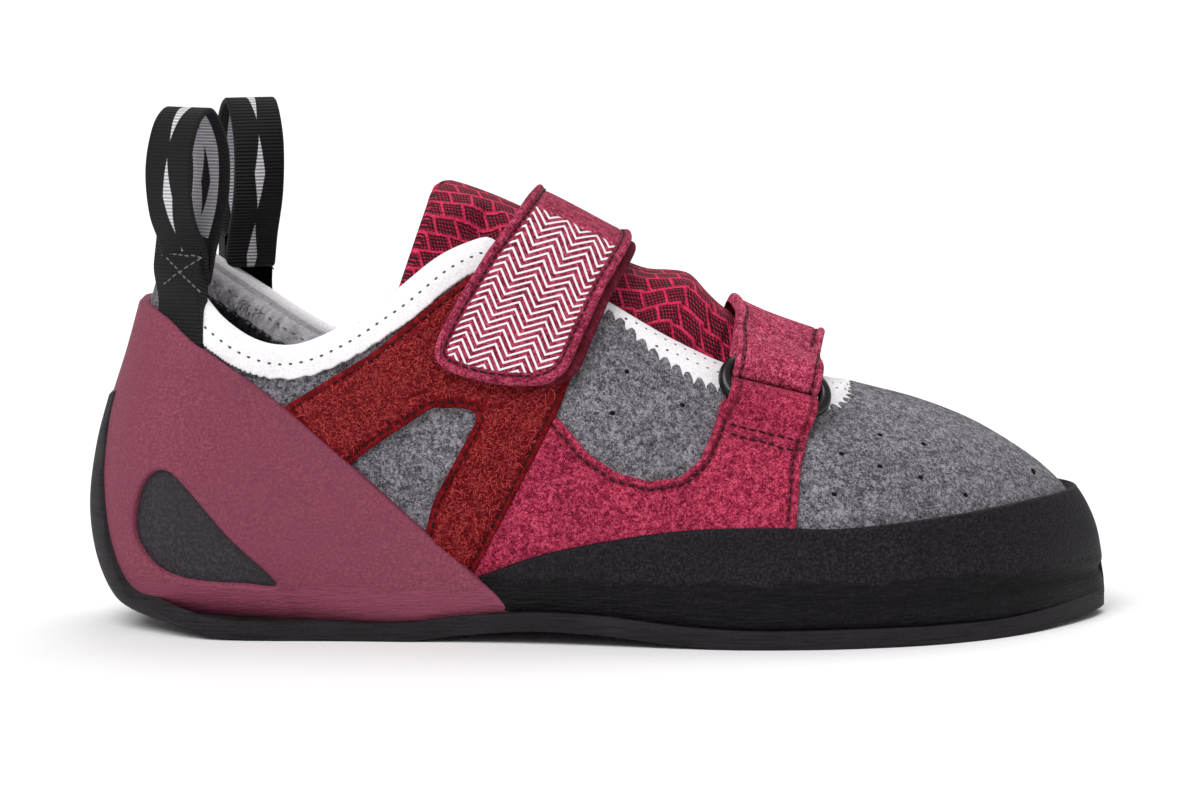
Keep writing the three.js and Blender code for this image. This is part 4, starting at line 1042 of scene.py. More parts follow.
@dataclass(frozen=True)
class AirMesh(Finish):
    """Knitted spacer mesh: rows of small holes in blocks, with raised cords between them. The holes are filled with
    painted shade and the blocks are darkened with it, so the cords read bright.

    The holes are 0.8 mm apart and the blocks 5.4 by 4.1 mm, laid like bricks.
    """

    # Painted shade for the holes and for the blocks between the cords
    dark: str = "#300610"
    light: str = "#ee3d6c"
    hole: float = 0.8
    block: float = 5.4
    course: float = 4.1

    def dress(self, tree: bpy.types.NodeTree, shader: bpy.types.Node, coords: bpy.types.Node) -> None:
        """Blocks, cords and holes, with painted shade in the holes and on the blocks."""
        drift = add_node(tree, "ShaderNodeTexNoise", {"Vector": coords.outputs["Object"], "Scale": 140.0,
                                                      "Detail": 1.0}).outputs["Color"]
        moved = add_node(tree, "ShaderNodeVectorMath", {0: drift, 1: (0.0012, 0.0012, 0.0), 2: coords.outputs["UV"]},
                         operation="MULTIPLY_ADD").outputs[0]
        turned = add_node(tree, "ShaderNodeMapping", {"Vector": moved,
                                                      "Rotation": (0, 0, math.radians(-14))}).outputs[0]
        bricks = add_node(tree, "ShaderNodeTexBrick", {"Vector": turned, "Scale": 1000.0, "Mortar Size": 0.62,
                                                       "Mortar Smooth": 0.6, "Brick Width": self.block,
                                                       "Row Height": self.course}, offset=0.5)
        cords = bricks.outputs["Fac"]
        cells = add_node(tree, "ShaderNodeTexVoronoi", {"Vector": turned, "Scale": 1000 / self.hole,
                                                        "Randomness": 0.0}, voronoi_dimensions="2D")
        holes = self.ramp(tree, cells.outputs["Distance"], 0.34, 0.5, 1.0, 0.0)
        open_holes = self.maths(tree, "MULTIPLY", holes, self.maths(tree, "SUBTRACT", 1.0, cords))
        yarn = self.noise(tree, coords.outputs["Object"], 0.45, 3.0)
        body = self.blend(tree, self.ramp(tree, yarn, 0.4, 0.65), linear(self.colour), linear(self.light))
        # Painted shade: the blocks between the raised cords are darkened by up to 30 %
        body = self.blend(tree, self.ramp(tree, cords, 0.1, 0.9, 0.3, 0.0), body, linear(self.dark))
        # Painted shade: the open holes are filled with the dark colour
        colour = self.blend(tree, open_holes, body, linear(self.dark))
        tree.links.new(colour, shader.inputs["Base Color"])
        height = self.maths(tree, "ADD", self.maths(tree, "MULTIPLY", cords, 1.0),
                            self.maths(tree, "MULTIPLY", self.maths(tree, "SUBTRACT", 1.0, open_holes), 0.7))
        height = self.maths(tree, "ADD", height, self.maths(tree, "MULTIPLY", yarn, 0.3))
        self.bump(tree, shader, height, 0.55)


@dataclass(frozen=True)
class Webbing(Finish):
    """Woven grosgrain tape: ribs 0.85 mm apart across it, and a chain of plain white lozenges down it."""

    rib: float = 0.85
    mark: str = "#e9e7ea"
    reverse: str = "#cfcbd2"
    pitch: float = 22.0
    lozenge: float = 17.0
    half_width: float = 1.25
    marked: bool = True

    def dress(self, tree: bpy.types.NodeTree, shader: bpy.types.Node, coords: bpy.types.Node) -> None:
        """Ribs, darkened in their valleys with painted shade, and the woven marks."""
        flat = add_node(tree, "ShaderNodeSeparateXYZ", {0: coords.outputs["UV"]})
        along = self.maths(tree, "MULTIPLY", flat.outputs[0], 1000.0)
        across = self.maths(tree, "MULTIPLY", flat.outputs[1], 1000.0)
        rib = self.maths(tree, "SINE", self.maths(tree, "MULTIPLY", along, 2 * math.pi / self.rib))
        thread = self.noise(tree, coords.outputs["Object"], 0.5, 3.0)
        # Painted shade: each rib's valley is darkened, to near black on the tape
        tone = self.ramp(tree, rib, -1.0, 1.0)
        colour = self.blend(tree, tone, linear("#050506"), linear(self.colour))
        if self.marked:
            ladder = self.maths(tree, "PINGPONG", along, self.pitch / 2)
            slope = 2 * self.half_width / self.lozenge
            reach = self.maths(tree, "ADD", self.maths(tree, "MULTIPLY", ladder, slope),
                               self.maths(tree, "ABSOLUTE", across))
            ink = self.ramp(tree, reach, self.half_width, self.half_width + 0.12, 1.0, 0.0)
            # Painted shade: the marks' rib valleys are greyer, #a9a6ac on the face and #8d8a92 on the back
            face = self.blend(tree, ink, colour, self.blend(tree, tone, linear("#a9a6ac"), linear(self.mark)))
            back = self.blend(tree, ink, self.blend(tree, tone, linear("#8d8a92"), linear(self.reverse)), colour)
            inner = add_node(tree, "ShaderNodeAttribute", attribute_name="inner").outputs["Fac"]
            sides = self.ramp(tree, self.maths(tree, "ABSOLUTE", across), 3.6, 3.75, 1.0, 0.0)
            colour = self.blend(tree, self.maths(tree, "MULTIPLY", inner, sides), face, back)
        tree.links.new(colour, shader.inputs["Base Color"])
        self.bump(tree, shader, self.maths(tree, "ADD", tone, self.maths(tree, "MULTIPLY", thread, 0.4)), 0.35)


@dataclass(frozen=True)
class Cloth(Finish):
    """Soft tape, lining or thread: a close weave with a little fluff and, where stain is set, soiling."""

    grain: float = 0.7
    depth: float = 0.18
    stain: str = ""
    deep: str = ""
    change: float = 0.0

    def dress(self, tree: bpy.types.NodeTree, shader: bpy.types.Node, coords: bpy.types.Node) -> None:
        """Weave, fluff, and a second colour below a depth from the edge."""
        place = coords.outputs["Object"]
        fluff = self.noise(tree, place, self.grain, 4.0, 0.8)
        cloud = self.noise(tree, place, 6.0, 3.0)
        shade = self.blend(tree, self.ramp(tree, fluff, 0.35, 0.65), (0.84, 0.84, 0.85, 1), (1.04, 1.04, 1.04, 1))
        colour = self.blend(tree, 1.0, linear(self.colour), shade, "MULTIPLY")
        if self.stain:
            colour = self.blend(tree, self.ramp(tree, cloud, 0.5, 0.8, 0.0, 0.5), colour, linear(self.stain))
        if self.deep:
            edge = add_node(tree, "ShaderNodeAttribute", attribute_name="edge").outputs["Fac"]
            wander = self.maths(tree, "ADD", edge, self.maths(tree, "MULTIPLY", cloud, 1.2))
            colour = self.blend(tree, self.ramp(tree, wander, self.change, self.change + 0.5), colour,
                                self.blend(tree, self.ramp(tree, fluff, 0.4, 0.6), linear("#242327"), linear(self.deep)))
        tree.links.new(colour, shader.inputs["Base Color"])
        self.bump(tree, shader, fluff, self.depth)


class Look(Enum):
    """Each finish of the shoe, with the record's slot that it belongs to."""

    SUEDE = ("upper_suede", Nap("Brushed_cow_suede_grey", "#6d6a70", 0.92, 1.45, 0.05, specular=0.15, dark="#3b393f",
                                light="#a19da5", grain=0.55, depth=0.5))
    PANEL = ("panel_microsuede", Nap("Microsuede_cranberry", "#9c2443", 0.92, 1.45, 0.03, specular=0.12,
                                     dark="#5c0e23", light="#d1526d", grain=0.5, depth=0.4, seam=2.0))
    STRAP = ("strap_microsuede", Nap("Microsuede_plum_strap", "#ad3353", 0.92, 1.45, 0.03, specular=0.12,
                                     dark="#661229", light="#e4718b", grain=0.5, depth=0.4, seam=2.2))
    PRINTED_STRAP = ("strap_microsuede", PrintedNap("Microsuede_plum_strap_printed", "#9a2a49", 0.92, 1.45, 0.03, specular=0.12,
                                                    dark="#5a1026", light="#cf5c75", grain=0.5, depth=0.4, seam=2.2))
    STRAP_LINING = ("strap_microsuede", Pile("Brushed_loop_tape_plum", "#6a1c2c", 0.95, 1.5, 0.0, specular=0.12,
                                             dark="#380b15", light="#8f3a4b"))
    PILE = ("loop_pile", Pile("Brushed_loop_tape_dark_red", "#7c1018", 0.95, 1.5, 0.0, specular=0.12,
                              dark="#260305", light="#b42a31"))
    PILE_STRANDS = ("loop_pile", Strand("Loop_tape_strands", "#6a0a12", 0.8, 1.5, 0.0, specular=0.12, light="#c3484a"))
    TONGUE = ("tongue_mesh", AirMesh("Knitted_spacer_mesh_crimson", "#ad173c", 0.75, 1.5, 0.0, specular=0.25))
    TONGUE_LINING = ("tongue_mesh", Cloth("Brushed_lining_crimson", "#7d1230", 0.9, 1.5, 0.2, grain=0.6))
    SLING = ("sling_rubber", Rubber("Moulded_rubber_plum", "#763046", 0.62, 1.52, specular=0.3, pale="#92495b", grain=0.55,
                                    depth=0.24, worn="#8b4056", worn_top=12.5))
    WINDOW = ("rand_rubber", Rubber("Textured_rubber_charcoal", "#252126", 0.5, 1.52, specular=0.25, pale="#403c43", grain=0.8,
                                    depth=0.3))
    RAND = ("rand_rubber", Rubber("Moulded_rubber_black_rand", "#0f0c11", 0.58, 1.52, specular=0.12, pale="#342e36",
                                  grain=0.6, depth=0.32, worn="#0c0a0c", worn_top=15.5))
    SOLE = ("sole_rubber", Rubber("Sanded_rubber_black_sole", "#0b090b", 0.6, 1.52, specular=0.15, pale="#2b272b",
                                  grain=0.6, depth=0.3, streaks=0.85))
    TAPE = ("binding_tape", Cloth("Soft_knit_tape_white", "#fbf9fb", 0.9, 1.5, 0.05, grain=0.6, depth=0.14))
    LINING = ("insole_board", Cloth("Brushed_lining_grey", "#dfdce2", 0.95, 1.5, 0.1, specular=0.2, grain=0.9,
                                    depth=0.3, stain="#a9a6ad", deep="#515056", change=8.6))
    FOOTBED = ("insole_board", Cloth("Footbed_cloth_grey", "#6f6d73", 0.95, 1.5, 0.2, grain=0.8))
    WEBBING = ("loop_webbing", Webbing("Grosgrain_webbing_black", "#121215", 0.7, 1.5, 0.0, specular=0.3))
    WEBBING_BASE = ("loop_webbing", Webbing("Grosgrain_webbing_black_base", "#121215", 0.7, 1.5, 0.0, specular=0.3, marked=False))
    RING = ("ring_plastic", Rubber("Moulded_nylon_black", "#08080a", 0.32, 1.53, specular=0.4, pale="#111113", grain=0.5,
                                   depth=0.03))
    THREAD_DARK = ("panel_microsuede", Cloth("Polyester_thread_oxblood", "#26060f", 0.6, 1.55, 0.0, specular=0.2, grain=0.3))
    THREAD_BLACK = ("loop_webbing", Cloth("Polyester_thread_charcoal", "#6a686f", 0.5, 1.55, 0.1, grain=0.3))
    THREAD_RED = ("loop_pile", Cloth("Polyester_thread_red", "#200406", 0.6, 1.55, 0.0, specular=0.2, grain=0.3))
    THREAD_GREY = ("insole_board", Cloth("Polyester_thread_grey", "#87848b", 0.6, 1.55, 0.2, grain=0.3))
    NEEDLE_HOLE = ("binding_tape", Cloth("Needle_hole_shadow", "#5d595f", 1.0, 1.3, grain=0.5, depth=0.02))
    HOLE = ("upper_suede", Cloth("Pierced_hole_shadow", "#0b0b0d", 1.0, 1.3, grain=0.5, depth=0.02))

    @property
    def slot(self) -> str:
        """The record's material slot."""
        return self.value[0]

    def material(self) -> bpy.types.Material:
        """The finish's material, made the first time it is asked for."""
        finish = self.value[1]
        return bpy.data.materials.get(finish.name) or finish.build()


def throat_depth(points: np.ndarray, half_widths: Table) -> np.ndarray:
    """How deep points lie in an opening over the instep, in mm of the plan.

    Args:
        points: The points.
        half_widths: Rows of a length share and half the opening's width as a share of the ball width.

    Returns:
        The depths, positive inside the opening.
    """
    sections = np.array(SECTIONS)[11:]
    edge = curve(half_widths, False)
    ridge = np.interp(edge[:, 0], sections[:, Column.BASE_X], sections[:, Column.RIDGE]) * BALL_WIDTH
    half = np.maximum(edge[:, 1] * BALL_WIDTH, 0.2)
    x = side_x(edge[:, 0])
    plan = np.vstack([np.stack([x, ridge - half], axis=1), np.stack([x, ridge + half], axis=1)[::-1]])
    return np.where(points[..., 2] > side_z(0.42), signed_distance(points[..., 0], points[..., 1], plan), -60.0)


def along_throat(points: np.ndarray, half_widths: Table, wanted: np.ndarray) -> np.ndarray:
    """How far along an opening's edge points lie, in mm of the plan.

    Args:
        points: The points.
        half_widths: Rows of a length share and half the opening's width as a share of the ball width.
        wanted: Which of the points to work out. The others get 0.

    Returns:
        The lengths from the edge's start.
    """
    sections = np.array(SECTIONS)[11:]
    edge = curve(half_widths, False, 40)
    x, half = side_x(edge[:, 0]), edge[:, 1] * BALL_WIDTH
    run = np.concatenate([[0], np.cumsum(np.hypot(np.diff(x), np.diff(half)))])
    near = points[wanted]
    ridge = np.interp(near[:, 0] / LAST_LENGTH + 0.5, sections[:, Column.BASE_X], sections[:, Column.RIDGE]) * BALL_WIDTH
    gaps = np.hypot(near[:, :1] - x, np.abs(near[:, 1] - ridge)[:, None] - half)
    made = np.zeros(points.shape[:2])
    made[wanted] = run[np.argmin(gaps, axis=1)]
    return made


def opening_depths(points: np.ndarray) -> tuple[np.ndarray, np.ndarray]:
    """How deep points lie in the ankle opening's side view, and in the throat's plan, in mm."""
    lids = {}
    for side, table in ((Side.LATERAL, COLLAR_LATERAL), (Side.MEDIAL, COLLAR_MEDIAL)):
        outline = Outline(table, lid=((table[-1][0], 1.6), (table[0][0] - 0.1, 1.6)))
        lids[side] = outline.depth(points)
    ankle = np.where(points[..., 1] < 0, lids[Side.LATERAL], lids[Side.MEDIAL])
    return ankle, throat_depth(points, THROAT)


def wave(along: np.ndarray, pitch: float) -> np.ndarray:
    """A triangle wave from -1 to 1."""
    return 4 * np.abs(along / pitch - np.floor(along / pitch + 0.5)) - 1


def troughs(grid: Grid) -> np.ndarray:
    """The suede's soft creases as depths below the last, on the outer side of the foot."""
    dip = np.zeros(grid.points.shape[:2])
    x, z = grid.points[..., 0], grid.points[..., 2]
    for x0, z0, x1, z1, width, depth in TROUGHS:
        ax, az, bx, bz = side_x(x0), side_z(z0), side_x(x1), side_z(z1)
        t = np.clip(((x - ax) * (bx - ax) + (z - az) * (bz - az)) / ((bx - ax) ** 2 + (bz - az) ** 2), 0, 1)
        gap = np.hypot(x - ax - t * (bx - ax), z - az - t * (bz - az))
        dip -= depth * np.exp(-((gap / width) ** 2))
    return dip * (grid.points[..., 1] < 12)


def seam(grid: Grid, surface: np.ndarray, side: Side, start: tuple[float, float], end: tuple[float, float]) -> Line:
    """A straight seam in the side view, laid on a surface.

    Args:
        grid: The surface's grid.
        surface: Its points.
        side: The side of the shoe.
        start: Where the seam starts, in shares of the length and the height.
        end: Where it ends.

    Returns:
        The seam.
    """
    spots = [grid.nearest(surface, side, side_x(x), side_z(z)) for x, z in
             zip(np.linspace(start[0], end[0], 24), np.linspace(start[1], end[1], 24))]
    points = np.array([surface[s] for s in spots])
    for _ in range(3):
        points[1:-1] = (points[:-2] + 2 * points[1:-1] + points[2:]) / 4
    return Line(points, np.array([grid.normals[s] for s in spots]))


def ring_place(last: Last, row: float = 16.46, girth: float = 0.8) -> tuple[np.ndarray, np.ndarray, np.ndarray]:
    """Where the strap ring lies.

    Args:
        last: The foot form.
        row: The section row of its middle.
        girth: The girth of its middle, 1 at the ridge.

    Returns:
        Its centre, the direction of its long bars, and the direction across them to the ridge.
    """
    grid = last.grid(row + np.array([-0.15, 0.0, 0.15]), girth + np.array([-0.02, 0.0, 0.02]))
    normal = grid.normals[1, 1]
    centre = grid.points[1, 1] + normal * (1.2 + RING_WIRE)
    normal = unit(normal + np.array([0, -0.5, 0]))
    along = np.array([1, 0, -0.2])
    along = unit(along - normal * np.dot(along, normal))
    return centre, along, np.cross(normal, along)


@dataclass
class Assembly:
    """A group of pieces that a maker would cut and fasten together."""

    last: Last

    def build(self) -> None:
        """Makes the group's pieces."""
        raise NotImplementedError


@dataclass
class UpperShell(Assembly):
    """The suede upper with its pinked throat, pinholes, throat tape and lining."""

    suede_wall: float = 1.2
    tooth_pitch: float = 2.7
    tooth_depth: float = 2.0

    def build(self) -> None:
        """Suede, throat tape, pinholes and lining."""
        fine, coarse = 0.0065, 0.013
        rows = spaced((0, 13, 0.1), (13, 18.4, 0.03), (18.4, 25, 0.1))
        turns = spaced((0, 0.44, coarse), (0.44, 1.56, fine), (1.56, 2.0, coarse))[:-1]
        grid = self.last.grid(rows, turns)
        ankle, throat = opening_depths(grid.points)
        bared = throat_depth(grid.points, SUEDE_THROAT)
        zigzag = wave(along_throat(grid.points, SUEDE_THROAT, np.abs(bared) < 3.0), self.tooth_pitch)
        teeth = self.tooth_depth / 2 * np.clip(1.8 * zigzag, -1, 1)
        keep = np.minimum(-ankle - 1.0, teeth - bared)
        suede = Sheet("upper_suede_shell", grid, troughs(grid), keep, rounded_edge(0.5, self.suede_wall), Look.SUEDE)
        piece = suede.build()
        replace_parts(piece, "upper")
        self.tape(grid, ankle, throat, bared)
        self.pinholes(suede)
        self.lining()

    def tape(self, grid: Grid, ankle: np.ndarray, throat: np.ndarray, bared: np.ndarray) -> None:
        """White tape round the throat, under the pinked suede.

        Args:
            grid: The suede's grid.
            ankle: Depths in the ankle opening.
            throat: Depths in the throat.
            bared: Depths in the wider opening that the suede leaves.
        """
        front = grid.points[..., 0] - side_x(0.37)
        closed = throat - 6.0 * smooth((grid.points[..., 0] - side_x(0.7)) / 7.0)
        keep = np.minimum(np.minimum(-closed, bared + 2.5), np.minimum(-ankle, front))
        swell = 0.9 * np.sin(np.clip(-throat / 8, 0, 1) * math.pi) ** 0.5 * smooth((bared - 0.7) / 1.5) - 0.4
        tape = Sheet("throat_tape", grid, swell, keep, rounded_edge(0.6, 1.8), Look.TAPE)
        tape.build()
        shown = np.minimum(front - 8, bared - 1.5)
        rows = [line for level in (2.2, 4.8) for line in Sheet("", grid, swell, -throat, rounded_edge(0.6, 1), Look.TAPE)
                .lines(level, shown)]
        Stitch(0.9, 2.6, 0.34, 0.15).sew("throat_tape_needle_holes", rows, Look.NEEDLE_HOLE)

    def pinholes(self, suede: Sheet) -> None:
        """Punched breathing holes as dark dimples."""
        surface = suede.grid.raised(suede.height)
        lines = []
        for x, z in PINHOLES:
            for side in Side:
                spot = suede.grid.nearest(surface, side, side_x(x), side_z(z))
                centre, normal = surface[spot], suede.grid.normals[spot]
                lines.append(Line(np.stack([centre, centre + [0.01, 0, 0]]), np.stack([normal, normal])))
        Stitch(1.7, 5.0, 0.85, 0.4).sew("pinholes", lines, Look.HOLE)

    def lining(self) -> None:
        """The lining: padded round the ankle with gathered folds, and brushed cloth below."""
        grid = self.last.grid(spaced((0, 19, 0.09)), spaced((0, 2, 0.012))[:-1])
        ankle, throat = opening_depths(grid.points)
        depth = np.minimum(-ankle, -throat)
        along = grid.points[..., 0] + 0.3 * grid.points[..., 2]
        padding = 1.9 * smooth(depth / 3) * (1 - smooth((depth - 9) / 4))
        gathers = 1.15 * np.cos(2 * math.pi * along / 3.4) * smooth((depth - 4.0) / 1.5) * (1 - smooth((depth - 9) / 2))
        height = -UPPER_WALL - 0.2 - padding - gathers
        lining = Sheet("ankle_lining", grid, height, depth, rounded_edge(0.3, 0.6), Look.LINING, inward=True)
        lining.build()
        behind = side_x(0.4) - grid.points[..., 0]
        rows = [line for level in (4.6, 8.8) for line in lining.lines(level, behind)]
        Stitch(1.1, 2.7, 0.3).sew("lining_stitches", rows, Look.THREAD_GREY)


@dataclass
class CollarBinding(Assembly):
    """White tape folded over the ankle opening, with a row of needle holes."""

    width: float = 6.6
    roll: float = 2.2

    def build(self) -> None:
        """Outer band, inner band and the roll between them."""
        grid = self.last.grid(spaced((0, 13.4, 0.06)), spaced((0, 0.4, 0.02), (0.4, 1.6, 0.007), (1.6, 2, 0.02))[:-1])
        ankle, throat = opening_depths(grid.points)
        depth = -np.maximum(ankle, throat)
        front = side_x(0.425) - grid.points[..., 0]
        edge = 0.3 * wave(grid.points[..., 0] + grid.points[..., 2], 1.9)
        keep = np.minimum(np.minimum(depth - 0.2, self.width + edge - depth), front)
        swell = 0.35 * np.sin(np.clip(depth / self.width, 0, 1) * math.pi)
        outer = Sheet("collar_tape_outside", grid, BINDING_TOP - 0.5 + swell, keep, rounded_edge(0.5, 1.4), Look.TAPE)
        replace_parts(outer.build(), "collar_binding")
        inner_keep = np.minimum(np.minimum(depth - 0.2, 5.4 + edge - depth), front)
        Sheet("collar_tape_inside", grid, -UPPER_WALL - 1.5, inner_keep, rounded_edge(0.5, 1.2), Look.LINING,
              inward=True).build()
        middle = (BINDING_TOP - 0.5 - UPPER_WALL - 1.5) / 2
        radius = (BINDING_TOP - 0.5 + UPPER_WALL + 1.5) / 2
        band = Sheet("", grid, middle, depth, rounded_edge(0.5, 1), Look.TAPE)
        line = max(band.lines(0.9, front), key=lambda made: len(made.points)).every(0.9)
        angles = np.linspace(-0.25, math.pi + 0.25, 13)
        profile = [(self.roll * max(math.sin(a), -0.15), radius * math.cos(a)) for a in angles]
        strip("collar_tape_roll", line, profile, Look.TAPE)
        holes = Sheet("", grid, BINDING_TOP - 0.5 + swell, depth, rounded_edge(0.5, 1), Look.TAPE).lines(3.1, front)
        Stitch(1.0, 2.5, 0.36, 0.12).sew("collar_tape_needle_holes", holes, Look.NEEDLE_HOLE)


@dataclass
class Outsole(Assembly):
    """Thin sole rubber, flat under the foot and bent up the back of the heel."""

    across: int = 26
    overhang: float = 2.8

    def build(self) -> None:
        """Rings of the sole's cross-section from the top of the heel wrap to the toe."""
        rows = spaced((3.4, 9.4, 0.08), (9.4, 25, 0.12))
        sections = self.last.sections(rows)
        base = np.stack([side_x(sections[:, 0]), side_z(sections[:, 1])], axis=1)
        top = np.stack([side_x(sections[:, 2]), side_z(sections[:, 3])], axis=1)
        height = np.linalg.norm(top - base, axis=1)
        bend = 1 - smooth((rows - 6.6) / 2.1)
        up = (top - base) / height[:, None]
        up = unit(up * bend[:, None] + np.array([0, 1.0]) * (1 - bend)[:, None])
        centre = (sections[:, Column.MEDIAL] - sections[:, Column.LATERAL]) / 2 * BALL_WIDTH
        half = (sections[:, Column.MEDIAL] + sections[:, Column.LATERAL]) / 2 * BALL_WIDTH
        flat = half * sections[:, Column.FLAT]
        share = 0.8 * sections[:, Column.WIDEST]
        edges = []
        for side in Side:
            x = base[:, 0] + (top - base)[:, 0] * share
            y = centre + side.value * (flat + (half - flat) * 0.98)
            edge = np.stack([x, y], axis=1)
            along = np.gradient(edge, axis=0)
            normal = unit(np.stack([-along[:, 1], along[:, 0]], axis=1))
            normal *= np.where(normal[:, 1:] * side.value < 0, -1, 1)
            normal[-8:] = unit(normal[-8:] * (1, 1))
            edges.append(edge + normal * self.overhang)
        wrap = soft_lookup(WRAP_HALF_WIDTH, rows, 0.4) * BALL_WIDTH
        inner, outer = [], []
        for k in range(self.across + 1):
            t = k / self.across
            place = edges[0] * (1 - t) + edges[1] * t
            wrap_y = centre + (2 * t - 1) * wrap
            y = place[:, 1] + (wrap_y - place[:, 1]) * bend
            corner = np.clip((np.abs(y - centre) - flat) / (half - flat), 0, 1)
            rise = sections[:, Column.WIDEST] * height * (1 - np.sqrt(1 - corner**2)) * bend**3
            thickness = SOLE_THICKNESS + (HEEL_WRAP_THICKNESS - SOLE_THICKNESS) * bend
            seat = rise - GAP - (2 + 1.5 * GAP) * bend
            forward = (place[:, 0] - base[:, 0]) * (1 - bend)
            spring = 1.8 * smooth((sections[:, Column.BASE_X] - 0.88) / 0.12)
            seat_z = np.where(rows > 20, LAST_BOTTOM + spring, base[:, 1])
            for depth, store in ((seat, inner), (seat - thickness, outer)):
                store.append(np.stack([base[:, 0] + up[:, 0] * depth + forward, y,
                                       np.maximum(0, seat_z + up[:, 1] * depth)], axis=1))
        rings = np.stack([*inner, *outer[::-1]], axis=1)
        count, size = rings.shape[:2]
        faces = [[i * size + k, i * size + (k + 1) % size, (i + 1) * size + (k + 1) % size, (i + 1) * size + k]
                 for i in range(count - 1) for k in range(size)]
        faces += [list(range(size))[::-1], list(range((count - 1) * size, count * size))]
        piece = make_object("outsole_rubber", rings.reshape(-1, 3), faces, Look.SOLE)
        bevel = piece.modifiers.new("worn_edge", "BEVEL")
        bevel.width, bevel.segments, bevel.limit_method, bevel.angle_limit = 0.0006, 3, "ANGLE", math.radians(50)
        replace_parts(piece, "outsole")


@dataclass
class Rands(Assembly):
    """The toe rand and the heel sling, moulded rubber that stands on the sole and laps the upper."""

    edge: float = 0.9

    def build(self) -> None:
        """Toe rand, sling, and the textured insert in the sling's window."""
        rows, turns = spaced((12.0, 25, 0.09)), spaced((0.06, 1.94, 0.011))
        upright = self.last.grid(rows, turns, square=True)
        grid = self.blended(upright, self.last.grid(rows, turns))
        outer = grid.raised(RAND_TOP)
        rand = Outline(TOE_RAND_TOP, lid=((1.06, -0.3), (0.36, -0.3), (0.36, 0.09))).depth(outer)
        low = outer[..., 2] - LAST_BOTTOM
        x = outer[..., 0]
        ledge = 0.9 * smooth((x - 15) / 25) * np.exp(-(((low - 6.2 - 0.7 * np.sin(x / 13.0)) / 1.5) ** 2))
        height = RAND_TOP + 0.1 - ledge + 0.45 * np.exp(-((low / 2.5) ** 2))
        piece = Sheet("toe_rand_rubber", grid, height, rand, rounded_edge(self.edge, 2.4), Look.RAND).build()
        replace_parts(piece, "toe_rand")
        self.cap(grid, height)
        self.sling()

    def blended(self, upright: Grid, plain: Grid) -> Grid:
        """The upright grid, eased to the plain one below the rand's top edge, where it laps the upper."""
        rand = Outline(TOE_RAND_TOP, lid=((1.06, -0.3), (0.36, -0.3), (0.36, 0.09))).depth(upright.raised(RAND_TOP))
        share = smooth(1.1 - rand / 7.0)[..., None]
        points = upright.points * (1 - share) + plain.points * share
        return Grid(upright.rows, upright.turns, points, unit(upright.normals * (1 - share) + plain.normals * share),
                    False)

    def cap(self, grid: Grid, height: np.ndarray) -> None:
        """The small face that closes the toe."""
        ring = grid.raised(height)[-1]
        faces = [[k, k + 1, len(ring)] for k in range(len(ring) - 1)]
        centre = ring.mean(axis=0) + [0.5, 0, 0]
        make_object("toe_rand_tip", np.vstack([ring, centre]), faces, Look.RAND)

    def sling(self) -> None:
        """The heel sling with its window."""
        grid = self.last.grid(spaced((0, 14, 0.08)), spaced((0, 2, 0.01))[:-1], square=True)
        outer = grid.raised(RAND_TOP + 0.3)
        band = Outline(SLING_TOP, lid=((-0.06, -0.1),)).depth(outer)
        window = Outline(SLING_WINDOW, curved=True).depth(outer)
        soften = 0.35 * (1 - smooth(window / -6.0))
        crease = signed_distance(outer[..., 0], outer[..., 2], Outline(SLING_CREASE).polygon())
        height = RAND_TOP + 0.25 - soften - 0.45 * np.exp(-((crease / 1.1) ** 2))
        sling = Sheet("heel_sling_rubber", grid, height, np.minimum(band, -window), rounded_edge(self.edge, 2.3),
                      Look.SLING)
        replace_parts(sling.build(), "heel_sling")
        Sheet("heel_window_insert", grid, 0.55, window + 2.5, rounded_edge(0.3, 0.5), Look.WINDOW).build()


